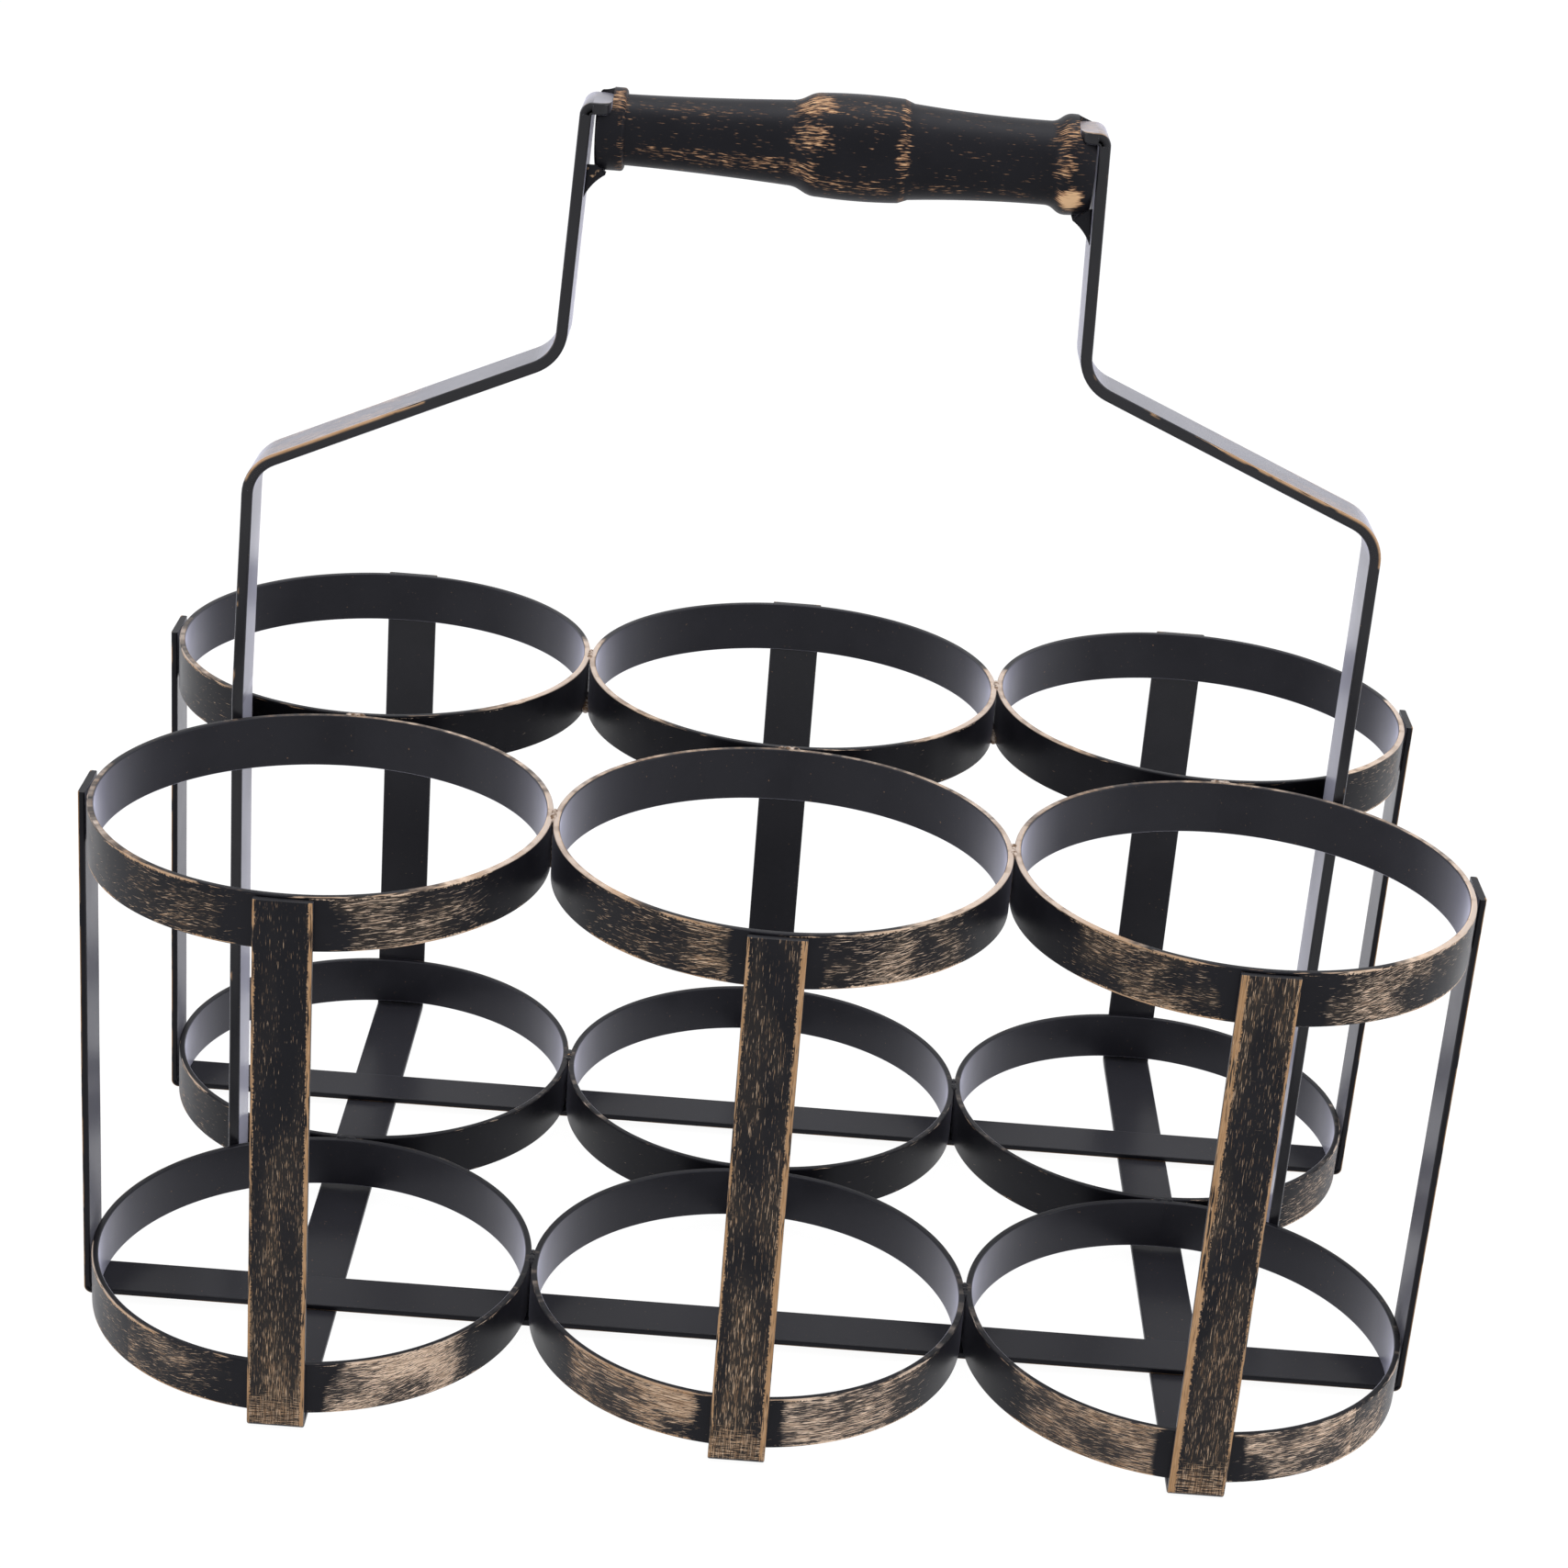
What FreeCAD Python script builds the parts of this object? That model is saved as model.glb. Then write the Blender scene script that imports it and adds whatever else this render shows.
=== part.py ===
import FreeCAD, Part
import math
import os

# Six-bottle caddy: twelve welded rings of flat bar, hung in five U straps,
# with a bent two-arm handle and a turned wooden grip.
# Millimetres. X runs along the three columns, Y from front to rear, Z up.
# The origin is on the table, under the middle of the basket.

# Flat bar stock
BAR_WIDTH = 12.0            # rings and straps
BAR_THICKNESS = 1.5
ARM_WIDTH = 13.0            # handle arms
ARM_THICKNESS = 2.5

# Basket
RING_DIAMETER = 97.0        # outside of a ring
BASKET_HEIGHT = 123.0       # table to the top edge of the upper rings
WELD_GAP = 0.2              # root gap wherever a ring is welded to its neighbour
RING_SEAM = 0.3             # butt joint that closes each ring
STRAP_FOLD_RADIUS = 0.3     # inside of the fold under the basket
STRAP_TOP_DROP = 0.5        # rim down to the tops of the column straps

# Handle arms, bent by hand, so that the two differ a little
LEFT_SHOULDER_HEIGHT = 181.3    # outer corner of the lower bend, above the table
RIGHT_SHOULDER_HEIGHT = 185.7
LEFT_SHOULDER_SLOPE = 24.3      # degrees above level, from the shoulder to the leg
RIGHT_SHOULDER_SLOPE = 23.3
LEFT_LEG_LEAN = 3.4             # degrees that the upper leg leans inwards
RIGHT_LEG_LEAN = 1.5
LEFT_UPRIGHT_LEAN = 2.0         # degrees that the left upright is drawn inwards above the rings
LEFT_UPRIGHT_BEND_RISE = 4.0    # from the rim up to where that starts
UPRIGHT_BEND_RADIUS = 60.0
ARM_BEND_RADIUS = 8.0       # inside of the two lower bends
TONGUE_LENGTH = 6.2         # bent end that lies in the grip's collar
TONGUE_BEND_RADIUS = 0.2    # inside of its bend, clear of the grip's end
TONGUE_TIP_RADIUS = 2.5     # rounded corners of its tip
TONGUE_SINK = 1.9           # top of a tongue below the top of its collar

# Turned grip, described from its left end to its right end
GRIP_HEIGHT = 258.0         # axis above the table
GRIP_LENGTH = 103.4
GRIP_SHIFT = 1.55           # middle of the grip to the right of the basket's middle
GRIP_SETBACK = 2.0          # axis behind the middle plane of the arms
LEFT_END_GAP = 1.0          # end grain to the inner face of an arm
RIGHT_END_GAP = 0.4
LEFT_COLLAR_DIAMETER = 17.1
LEFT_COLLAR_LENGTH = 6.0
COLLAR_EDGE_RADIUS = 0.8
LEFT_NECK_DIAMETER = 14.6       # beside the collar
LEFT_SHOULDER_DIAMETER = 17.5   # where the neck swells into the crown
CROWN_EDGE_DIAMETER = 21.4      # crown at its two shoulders
CROWN_DIAMETER = 22.0
RIGHT_SHOULDER_DIAMETER = 19.8  # foot of the crisp right shoulder
RIGHT_NECK_DIAMETER = 17.3      # where the neck swells into the flare
RIGHT_COLLAR_DIAMETER = 20.8    # widest place of the flare
RIGHT_END_DIAMETER = 18.8
LEFT_NECK_HOLLOW = 0.2          # depth of the gentle hollows along the necks
RIGHT_NECK_HOLLOW = 0.35
NOTCH_CLEARANCE = 0.2       # around the tongue in its notch
# Stations along the grip, as shares of its length
CROWN_START_SHARE = 0.385   # foot of the left shoulder
CROWN_FULL_SHARE = 0.452    # top of the left shoulder
CROWN_END_SHARE = 0.614     # top of the right shoulder
CROWN_FOOT_SHARE = 0.634    # foot of the right shoulder
FLARE_START_SHARE = 0.909
FLARE_TOP_SHARE = 0.953

# Braces under the grip's ends
BRACE_WIDTH = 8.0
BRACE_REACH = 4.0           # along the grip, from the arm
BRACE_DROP = 5.0            # down the arm, from the collar's underside
BRACE_RISE = 2.6            # up the arm, beside the grip's end
BRACE_HOLLOW = 0.5          # depth of the hollow in its slanting edge
BRACE_SEAT_GAP = 0.3        # to the collar that it carries

# Welds
BEAD_WIDTH = 2.4            # low beads over the rims, where two rings meet
BEAD_RISE = 0.3             # above the rims
BEAD_LENGTH = 5.0           # over its round ends
BEAD_SETBACK = 1.6          # middle of a bead behind the touch of two rings in one row
ARM_WELD_INSET = 2.0        # from a ring's edges to the ends of an arm's weld

COLUMNS = ("left", "middle", "right")
ROWS = ("front", "rear")
SIDES = ("left", "right")

# Sizes worked out from the ones above
RING_RADIUS = RING_DIAMETER / 2
PITCH = RING_DIAMETER + WELD_GAP
COLUMN_X = {"left": -PITCH, "middle": 0, "right": PITCH}
ROW_Y = {"front": -PITCH / 2, "rear": PITCH / 2}
LOWER_RING_FOOT = 2 * BAR_THICKNESS
UPPER_RING_FOOT = BASKET_HEIGHT - BAR_WIDTH
RING_FEET = {"lower": LOWER_RING_FOOT, "upper": UPPER_RING_FOOT}
STRAP_REACH_X = PITCH + RING_RADIUS + WELD_GAP + BAR_THICKNESS
STRAP_REACH_Y = PITCH / 2 + RING_RADIUS + WELD_GAP + BAR_THICKNESS

V = FreeCAD.Vector
X_AXIS = V(1, 0, 0)
Y_AXIS = V(0, 1, 0)
Z_AXIS = V(0, 0, 1)


def bent_bar(corners, inside_radii, thickness, place):
    """Face of a bent bar's side view. corners lie on one face of the bar, with
    the metal on the left of the way they run. place turns (u, v) into a point."""
    ways = []
    for start, end in zip(corners, corners[1:]):
        run = (end[0] - start[0], end[1] - start[1])
        length = math.hypot(run[0], run[1])
        ways.append((run[0] / length, run[1] / length))

    def offset_line(depth):
        """Points of the bar's face at this depth, as (end, arc, arc, ..., end)."""
        first, last = corners[0], corners[-1]
        marks = [(first[0] - ways[0][1] * depth, first[1] + ways[0][0] * depth)]
        for number, radius in enumerate(inside_radii):
            before, after = ways[number], ways[number + 1]
            turn = math.atan2(before[0] * after[1] - before[1] * after[0],
                              before[0] * after[0] + before[1] * after[1])
            outer_radius = radius + thickness
            # A left turn has its centre on the metal's side, a right turn on the other.
            centre_depth = outer_radius if turn > 0 else -radius
            reach = centre_depth * math.tan(turn / 2)
            corner = corners[number + 1]
            tangent = (corner[0] - before[0] * reach, corner[1] - before[1] * reach)
            centre = (tangent[0] - before[1] * centre_depth, tangent[1] + before[0] * centre_depth)
            arm = depth - centre_depth
            arc = []
            for part_share in (0, 0.5, 1):
                angle = turn * part_share
                way = (before[0] * math.cos(angle) - before[1] * math.sin(angle),
                       before[0] * math.sin(angle) + before[1] * math.cos(angle))
                arc.append((centre[0] - way[1] * arm, centre[1] + way[0] * arm))
            marks.append(arc)
        marks.append((last[0] - ways[-1][1] * depth, last[1] + ways[-1][0] * depth))
        return marks

    def edges_of(marks):
        edges = []
        here = marks[0]
        for arc in marks[1:-1]:
            edges.append(Part.makeLine(place(here), place(arc[0])))
            edges.append(Part.Arc(place(arc[0]), place(arc[1]), place(arc[2])).toShape())
            here = arc[2]
        edges.append(Part.makeLine(place(here), place(marks[-1])))
        return edges

    near, far = offset_line(0), offset_line(thickness)
    caps = [Part.makeLine(place(near[0]), place(far[0])),
            Part.makeLine(place(near[-1]), place(far[-1]))]
    edges = Part.__sortEdges__(edges_of(near) + edges_of(far) + caps)
    return Part.Face(Part.Wire(edges))


def ring(column, row, level):
    """Flat bar rolled on edge, its ends butted on the side towards the middle of the basket."""
    inner = RING_RADIUS - BAR_THICKNESS
    corners = [V(inner, 0, 0), V(RING_RADIUS, 0, 0), V(RING_RADIUS, 0, BAR_WIDTH), V(inner, 0, BAR_WIDTH)]
    section = Part.Face(Part.makePolygon(corners + corners[:1]))
    seam_angle = math.degrees(RING_SEAM / RING_RADIUS)
    band = section.revolve(V(0, 0, 0), Z_AXIS, 360 - seam_angle)
    # The seam opens at angle 0 and is turned to face the other row.
    quarter = 90 if row == "front" else -90
    band.rotate(V(0, 0, 0), Z_AXIS, quarter + seam_angle / 2)
    band.translate(V(COLUMN_X[column], ROW_Y[row], RING_FEET[level]))
    return band


def u_strap(reach, foot, top, across, along):
    """U strap in the plane of along and Z, from the underside of its floor run to its two tops."""
    corners = [(-reach, top), (-reach, foot), (reach, foot), (reach, top)]

    def place(point):
        return along * point[0] + Z_AXIS * point[1] - across * (BAR_WIDTH / 2)

    side = bent_bar(corners, [STRAP_FOLD_RADIUS, STRAP_FOLD_RADIUS], BAR_THICKNESS, place)
    return side.extrude(across * BAR_WIDTH)


def column_strap(column):
    """Strap along Y under one column, the lowest member, which stands on the table."""
    strap = u_strap(STRAP_REACH_Y, 0, BASKET_HEIGHT - STRAP_TOP_DROP, X_AXIS, Y_AXIS)
    strap.translate(X_AXIS * COLUMN_X[column])
    return strap


def row_strap(row):
    """Strap along X under one row, laid on the column straps."""
    strap = u_strap(STRAP_REACH_X, BAR_THICKNESS, BASKET_HEIGHT, Y_AXIS, X_AXIS)
    strap.translate(Y_AXIS * ROW_Y[row])
    return strap


# An arm stands wedged between the end rings of the two rows.
# Places of both arms are reckoned outwards from the middle plane of the basket.
WEDGE_HALF = PITCH / 2 - ARM_WIDTH / 2 - WELD_GAP
ARM_INNER_X = PITCH + math.sqrt(RING_RADIUS ** 2 - WEDGE_HALF ** 2)
ARM_OUTER_X = ARM_INNER_X + ARM_THICKNESS


class ArmPlaces:
    """Corners of one arm's outer face, and of the grip's end that it holds."""

    def __init__(self, shoulder_height, slope, leg_lean, upright_lean, grip_end, end_gap, collar, end_face):
        self.collar = collar
        self.end_face = end_face
        self.grip_end = grip_end
        self.end_gap = end_gap
        self.leg_lean = math.radians(leg_lean)
        self.leg_x = grip_end + end_gap + ARM_THICKNESS
        self.bend_height = BASKET_HEIGHT + LEFT_UPRIGHT_BEND_RISE
        self.upright_lean = upright_lean
        drawn_in = (shoulder_height - self.bend_height) * math.tan(math.radians(upright_lean))
        self.shoulder = (ARM_OUTER_X - drawn_in, shoulder_height)
        # The leg's foot is where the slope meets the leg.
        rise, lean = math.tan(math.radians(slope)), math.tan(self.leg_lean)
        foot_x = ((self.leg_x + lean * (GRIP_HEIGHT - shoulder_height - rise * self.shoulder[0]))
                  / (1 - lean * rise))
        self.leg_foot = (foot_x, shoulder_height + (self.shoulder[0] - foot_x) * rise)
        self.tongue_top = GRIP_HEIGHT + collar / 2 - TONGUE_SINK
        self.tongue_tip = self.leg_outer(self.tongue_top) - TONGUE_LENGTH

    def leg_outer(self, height):
        """Outer face of the upper leg at this height."""
        return self.leg_x + (GRIP_HEIGHT - height) * math.tan(self.leg_lean)

    def leg_inner(self, height):
        """Inner face of the upper leg at this height."""
        return self.leg_outer(height) - ARM_THICKNESS / math.cos(self.leg_lean)


ARMS = {
    "left": ArmPlaces(LEFT_SHOULDER_HEIGHT, LEFT_SHOULDER_SLOPE, LEFT_LEG_LEAN, LEFT_UPRIGHT_LEAN,
                      GRIP_LENGTH / 2 - GRIP_SHIFT, LEFT_END_GAP, LEFT_COLLAR_DIAMETER, LEFT_COLLAR_DIAMETER),
    "right": ArmPlaces(RIGHT_SHOULDER_HEIGHT, RIGHT_SHOULDER_SLOPE, RIGHT_LEG_LEAN, 0,
                       GRIP_LENGTH / 2 + GRIP_SHIFT, RIGHT_END_GAP, RIGHT_COLLAR_DIAMETER, RIGHT_END_DIAMETER),
}


def on_side(shape, side):
    """Shape made on the right, taken to its own side."""
    return shape if side == "right" else shape.mirror(V(0, 0, 0), X_AXIS)


def round_tip(arm, tip_x):
    """Round the two upright corners at the free end of the tongue."""
    corners = []
    for edge in arm.Edges:
        box = edge.BoundBox
        at_tip = box.XMax < tip_x + ARM_THICKNESS / 2
        upright = box.YLength < ARM_THICKNESS / 2
        if at_tip and upright:
            corners.append(edge)
    return arm.makeFillet(TONGUE_TIP_RADIUS, corners)


def handle_arm(side):
    """One arm: foot between the rings, shoulder bend, slope, leg, and tongue in the grip."""
    places = ARMS[side]
    corners = [(ARM_OUTER_X, LOWER_RING_FOOT)]
    radii = []
    if places.upright_lean:
        corners.append((ARM_OUTER_X, places.bend_height))
        radii.append(UPRIGHT_BEND_RADIUS)
    corners += [places.shoulder,
                places.leg_foot,
                (places.leg_outer(places.tongue_top), places.tongue_top),
                (places.tongue_tip, places.tongue_top)]
    radii += [ARM_BEND_RADIUS, ARM_BEND_RADIUS, TONGUE_BEND_RADIUS]

    def place(point):
        return V(point[0], -ARM_WIDTH / 2, point[1])

    profile = bent_bar(corners, radii, ARM_THICKNESS, place)
    arm = round_tip(profile.extrude(Y_AXIS * ARM_WIDTH), places.tongue_tip)
    return on_side(arm, side)


def grip_notch(side):
    """Room for a tongue in the top of a collar, open above, in front and at the grip's end."""
    places = ARMS[side]
    end_x = places.grip_end + places.end_gap
    length = end_x - places.tongue_tip + NOTCH_CLEARANCE
    width = ARM_WIDTH + 2 * NOTCH_CLEARANCE
    floor = places.tongue_top - ARM_THICKNESS
    room = Part.makeBox(length, width, CROWN_DIAMETER, V(end_x - length, -width / 2, floor))
    corners = []
    for edge in room.Edges:
        box = edge.BoundBox
        if box.ZLength > ARM_WIDTH and box.Center.x < end_x - length / 2:
            corners.append(edge)
    room = room.makeFillet(TONGUE_TIP_RADIUS + NOTCH_CLEARANCE, corners)
    return on_side(room, side)


def wooden_grip():
    """Turned grip: collar, neck, barrel crown, neck and flared collar, notched for the tongues."""

    def station(length_along, radius):
        return V(GRIP_SHIFT + length_along - GRIP_LENGTH / 2, GRIP_SETBACK, GRIP_HEIGHT + radius)

    def at_share(share, diameter):
        return station(GRIP_LENGTH * share, diameter / 2)

    def arc(start, middle, end):
        return Part.Arc(start, middle, end).toShape()

    def bow(start, end, rise):
        """Gentle curve that stands this far off the straight line at its middle."""
        curve = Part.BezierCurve()
        curve.setPoles([start, (start + end) * 0.5 + Z_AXIS * (2 * rise), end])
        return curve.toShape()

    def swell(start, end):
        """S curve that leaves and arrives along the axis."""
        half_way = X_AXIS * ((end.x - start.x) / 2)
        curve = Part.BezierCurve()
        curve.setPoles([start, start + half_way, end - half_way, end])
        return curve.toShape()

    collar, edge = LEFT_COLLAR_DIAMETER / 2, COLLAR_EDGE_RADIUS
    bevel = edge * (1 - math.sqrt(0.5))
    axis_left, axis_right = station(0, 0), station(GRIP_LENGTH, 0)
    end_left = station(0, collar - edge)
    rim_left = station(edge, collar)
    rim_right = station(LEFT_COLLAR_LENGTH - edge, collar)
    rim_foot = station(LEFT_COLLAR_LENGTH, collar - edge)
    neck_start = station(LEFT_COLLAR_LENGTH, LEFT_NECK_DIAMETER / 2)
    crown_start = at_share(CROWN_START_SHARE, LEFT_SHOULDER_DIAMETER)
    crown_full = at_share(CROWN_FULL_SHARE, CROWN_EDGE_DIAMETER)
    crown_end = at_share(CROWN_END_SHARE, CROWN_EDGE_DIAMETER)
    crown_foot = at_share(CROWN_FOOT_SHARE, RIGHT_SHOULDER_DIAMETER)
    flare_start = at_share(FLARE_START_SHARE, RIGHT_NECK_DIAMETER)
    flare_top = at_share(FLARE_TOP_SHARE, RIGHT_COLLAR_DIAMETER)
    flare_fall = at_share((FLARE_TOP_SHARE + 1) / 2, (2 * RIGHT_COLLAR_DIAMETER + RIGHT_END_DIAMETER) / 3)
    end_right = at_share(1, RIGHT_END_DIAMETER)

    outline = [
        Part.makeLine(axis_left, end_left),
        arc(end_left, station(bevel, collar - bevel), rim_left),
        Part.makeLine(rim_left, rim_right),
        arc(rim_right, station(LEFT_COLLAR_LENGTH - bevel, collar - bevel), rim_foot),
        Part.makeLine(rim_foot, neck_start),
        bow(neck_start, crown_start, -LEFT_NECK_HOLLOW),
        swell(crown_start, crown_full),
        bow(crown_full, crown_end, (CROWN_DIAMETER - CROWN_EDGE_DIAMETER) / 2),
        Part.makeLine(crown_end, crown_foot),
        bow(crown_foot, flare_start, -RIGHT_NECK_HOLLOW),
        swell(flare_start, flare_top),
        arc(flare_top, flare_fall, end_right),
        Part.makeLine(end_right, axis_right),
        Part.makeLine(axis_right, axis_left),
    ]
    profile = Part.Face(Part.Wire(outline))
    grip = profile.revolve(axis_left, X_AXIS, 360)
    return grip.cut([grip_notch("left"), grip_notch("right")])


def grip_brace(side):
    """Three-cornered brace between an arm and the underside of the grip's collar."""
    places = ARMS[side]
    underside = GRIP_HEIGHT - places.collar / 2
    low, high = underside - BRACE_DROP, underside + BRACE_RISE
    foot = V(places.leg_inner(low), -BRACE_WIDTH / 2, low)
    head = V(places.leg_inner(high), -BRACE_WIDTH / 2, high)
    inner_top = V(places.grip_end, -BRACE_WIDTH / 2, high)
    seat_end = V(places.leg_inner(underside) - BRACE_REACH, -BRACE_WIDTH / 2, underside)
    slant = (seat_end - foot).normalize()
    middle = (foot + seat_end) * 0.5 - slant.cross(Y_AXIS) * BRACE_HOLLOW
    outline = Part.Wire([
        Part.makeLine(foot, head),
        Part.makeLine(head, inner_top),
        Part.makeLine(inner_top, seat_end),
        Part.Arc(seat_end, middle, foot).toShape(),
    ])
    brace = Part.Face(outline).extrude(Y_AXIS * BRACE_WIDTH)
    # The seat follows the collar from its widest place to the grip's end, and on past the end.
    crest = places.grip_end - GRIP_LENGTH * (1 - FLARE_TOP_SHARE)
    taper = (places.collar - places.end_face) / 2
    seat_marks = [(crest, 0), (crest, places.collar / 2), (places.grip_end, places.collar / 2 - taper),
                  (2 * places.grip_end - crest, places.collar / 2 - 2 * taper), (2 * places.grip_end - crest, 0)]
    seat_points = []
    for x, radius in seat_marks:
        clear = radius + BRACE_SEAT_GAP if radius else radius
        seat_points.append(V(x, GRIP_SETBACK, GRIP_HEIGHT - clear))
    seat = Part.Face(Part.makePolygon(seat_points + seat_points[:1]))
    seat = seat.revolve(V(0, GRIP_SETBACK, GRIP_HEIGHT), X_AXIS, 360)
    return on_side(brace.cut(seat), side)


def rim_bead(x, y, edge_height, along, upward):
    """Low bead laid over the two rims where rings meet, round-ended seen from above."""
    middle = V(x, y, edge_height)
    up = Z_AXIS if upward else -Z_AXIS
    half_width = BEAD_WIDTH / 2
    crown_radius = (half_width ** 2 + BEAD_RISE ** 2) / (2 * BEAD_RISE)
    start = middle - along * (BEAD_LENGTH / 2) - up * (crown_radius - BEAD_RISE)
    swell = Part.makeCylinder(crown_radius, BEAD_LENGTH, start, along)
    across = along.cross(up)
    straight = along * (BEAD_LENGTH / 2 - half_width)
    left, right = across * half_width, across * -half_width
    tip = along * (BEAD_LENGTH / 2)
    plan = Part.Wire([
        Part.makeLine(middle - straight + left, middle + straight + left),
        Part.Arc(middle + straight + left, middle + tip, middle + straight + right).toShape(),
        Part.makeLine(middle + straight + right, middle - straight + right),
        Part.Arc(middle - straight + right, middle - tip, middle - straight + left).toShape(),
    ])
    return swell.common(Part.Face(plan).extrude(up * BEAD_WIDTH))


def ring_welds(level):
    """Beads over the rims where two rings of one level meet.
    The rear row of the upper level is welded below as well."""
    foot = RING_FEET[level]
    rim = foot + BAR_WIDTH
    beads = []
    for column, following in zip(COLUMNS, COLUMNS[1:]):
        x = (COLUMN_X[column] + COLUMN_X[following]) / 2
        for row in ROWS:
            beads.append(rim_bead(x, ROW_Y[row] + BEAD_SETBACK, rim, Y_AXIS, True))
        if level == "upper":
            beads.append(rim_bead(x, ROW_Y["rear"], foot, Y_AXIS, False))
    for column in COLUMNS:
        beads.append(rim_bead(COLUMN_X[column], 0, rim, X_AXIS, True))
    return Part.makeCompound(beads)


def arm_welds():
    """Fillet welds between the edges of the arms and the end rings of both levels."""
    height = BAR_WIDTH - 2 * ARM_WELD_INSET
    welds = []
    for foot in RING_FEET.values():
        corner = V(ARM_INNER_X, ARM_WIDTH / 2, foot + ARM_WELD_INSET)
        block = Part.makeBox(ARM_THICKNESS, ARM_WIDTH, height, corner)
        rear_right = block.cut(Part.makeCylinder(RING_RADIUS, BAR_WIDTH, V(PITCH, PITCH / 2, foot)))
        front_right = rear_right.mirror(V(0, 0, 0), Y_AXIS)
        for weld in (rear_right, front_right):
            welds += [on_side(weld, side) for side in SIDES]
    return Part.makeCompound(welds)


def all_nodes():
    """Every piece of the caddy by name."""
    nodes = {}
    for level in RING_FEET:
        for row in ROWS:
            for column in COLUMNS:
                nodes[f"{level}_ring_{row}_{column}"] = ring(column, row, level)
        nodes[f"{level}_ring_welds"] = ring_welds(level)
    for column in COLUMNS:
        nodes[f"column_strap_{column}"] = column_strap(column)
    for row in ROWS:
        nodes[f"row_strap_{row}"] = row_strap(row)
    for side in SIDES:
        nodes[f"handle_arm_{side}"] = handle_arm(side)
        nodes[f"grip_brace_{side}"] = grip_brace(side)
    nodes["handle_arm_welds"] = arm_welds()
    nodes["wooden_grip"] = wooden_grip()
    return nodes


os.makedirs("parts", exist_ok=True)
for name, shape in all_nodes().items():
    shape.exportStep(f"parts/{name}.step")
    box = shape.BoundBox
    print(f"{name}: {len(shape.Solids)} solid(s), {shape.Volume:.0f} mm3, "
          f"{box.XLength:.1f} x {box.YLength:.1f} x {box.ZLength:.1f} mm, valid {shape.isValid()}")
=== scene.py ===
# %% [markdown]
# # A bottle caddy of black bar, brushed with gold
# The caddy is twelve rolled rings of flat steel bar, hung in five U straps, with a
# bent handle arm at each end and a turned wooden grip between the arms.
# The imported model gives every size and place. This lesson rebuilds each piece with
# rounded edges, and then paints it: satin black, dry-brushed with antique gold.

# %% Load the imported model
import math
from functools import partial
from types import SimpleNamespace

import bmesh
import bpy
from mathutils import Matrix, Vector


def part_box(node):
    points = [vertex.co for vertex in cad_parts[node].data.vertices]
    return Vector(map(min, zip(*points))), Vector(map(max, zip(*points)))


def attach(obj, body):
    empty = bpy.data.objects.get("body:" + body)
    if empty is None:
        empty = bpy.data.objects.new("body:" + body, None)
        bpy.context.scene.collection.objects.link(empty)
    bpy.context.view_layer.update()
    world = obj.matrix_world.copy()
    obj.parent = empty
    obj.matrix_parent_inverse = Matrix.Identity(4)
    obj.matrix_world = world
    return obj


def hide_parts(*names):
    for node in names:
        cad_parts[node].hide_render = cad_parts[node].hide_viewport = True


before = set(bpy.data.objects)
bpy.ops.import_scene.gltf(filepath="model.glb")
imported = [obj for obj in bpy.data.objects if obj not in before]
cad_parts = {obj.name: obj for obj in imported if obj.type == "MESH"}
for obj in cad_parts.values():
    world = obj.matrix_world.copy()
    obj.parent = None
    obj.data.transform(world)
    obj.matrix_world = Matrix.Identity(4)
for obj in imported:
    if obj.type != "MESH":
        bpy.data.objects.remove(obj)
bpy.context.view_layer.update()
MM = 0.001

# %% [markdown]
# The bar stock and the layout of the basket can be read from the boxes of a few nodes:
# a ring gives its radius and the bar's width, and the row straps lie on the column
# straps, so the step between their undersides is the bar's thickness.

# %% Read the basket's sizes from the frame
COLUMNS = ("left", "middle", "right")
ROWS = ("front", "rear")
LEVELS = ("upper", "lower")
SIDES = {"left": -1, "right": 1}


def middle_of(node):
    """Middle of a CAD node's box."""
    low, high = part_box(node)
    return (low + high) / 2


ring_low, ring_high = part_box("upper_ring_front_left")
RING_RADIUS = (ring_high.x - ring_low.x) / 2
BAR_WIDTH = ring_high.z - ring_low.z
BAR_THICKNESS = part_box("row_strap_front")[0].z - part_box("column_strap_left")[0].z
BASKET_TOP = ring_high.z
PITCH = middle_of("upper_ring_front_middle").x - middle_of("upper_ring_front_left").x
ROW_Y = PITCH / 2
REACH_X = PITCH + RING_RADIUS
REACH_Y = ROW_Y + RING_RADIUS
print("ring radius", RING_RADIUS, "bar", BAR_WIDTH, "x", BAR_THICKNESS, "pitch", PITCH)

# %% [markdown]
# Materials and Geometry Nodes are both trees of nodes. A small helper keeps the code
# that builds them close to the sums that they do: a term may be a number or the
# output of another node, and the helper sets it or links it.

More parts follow.
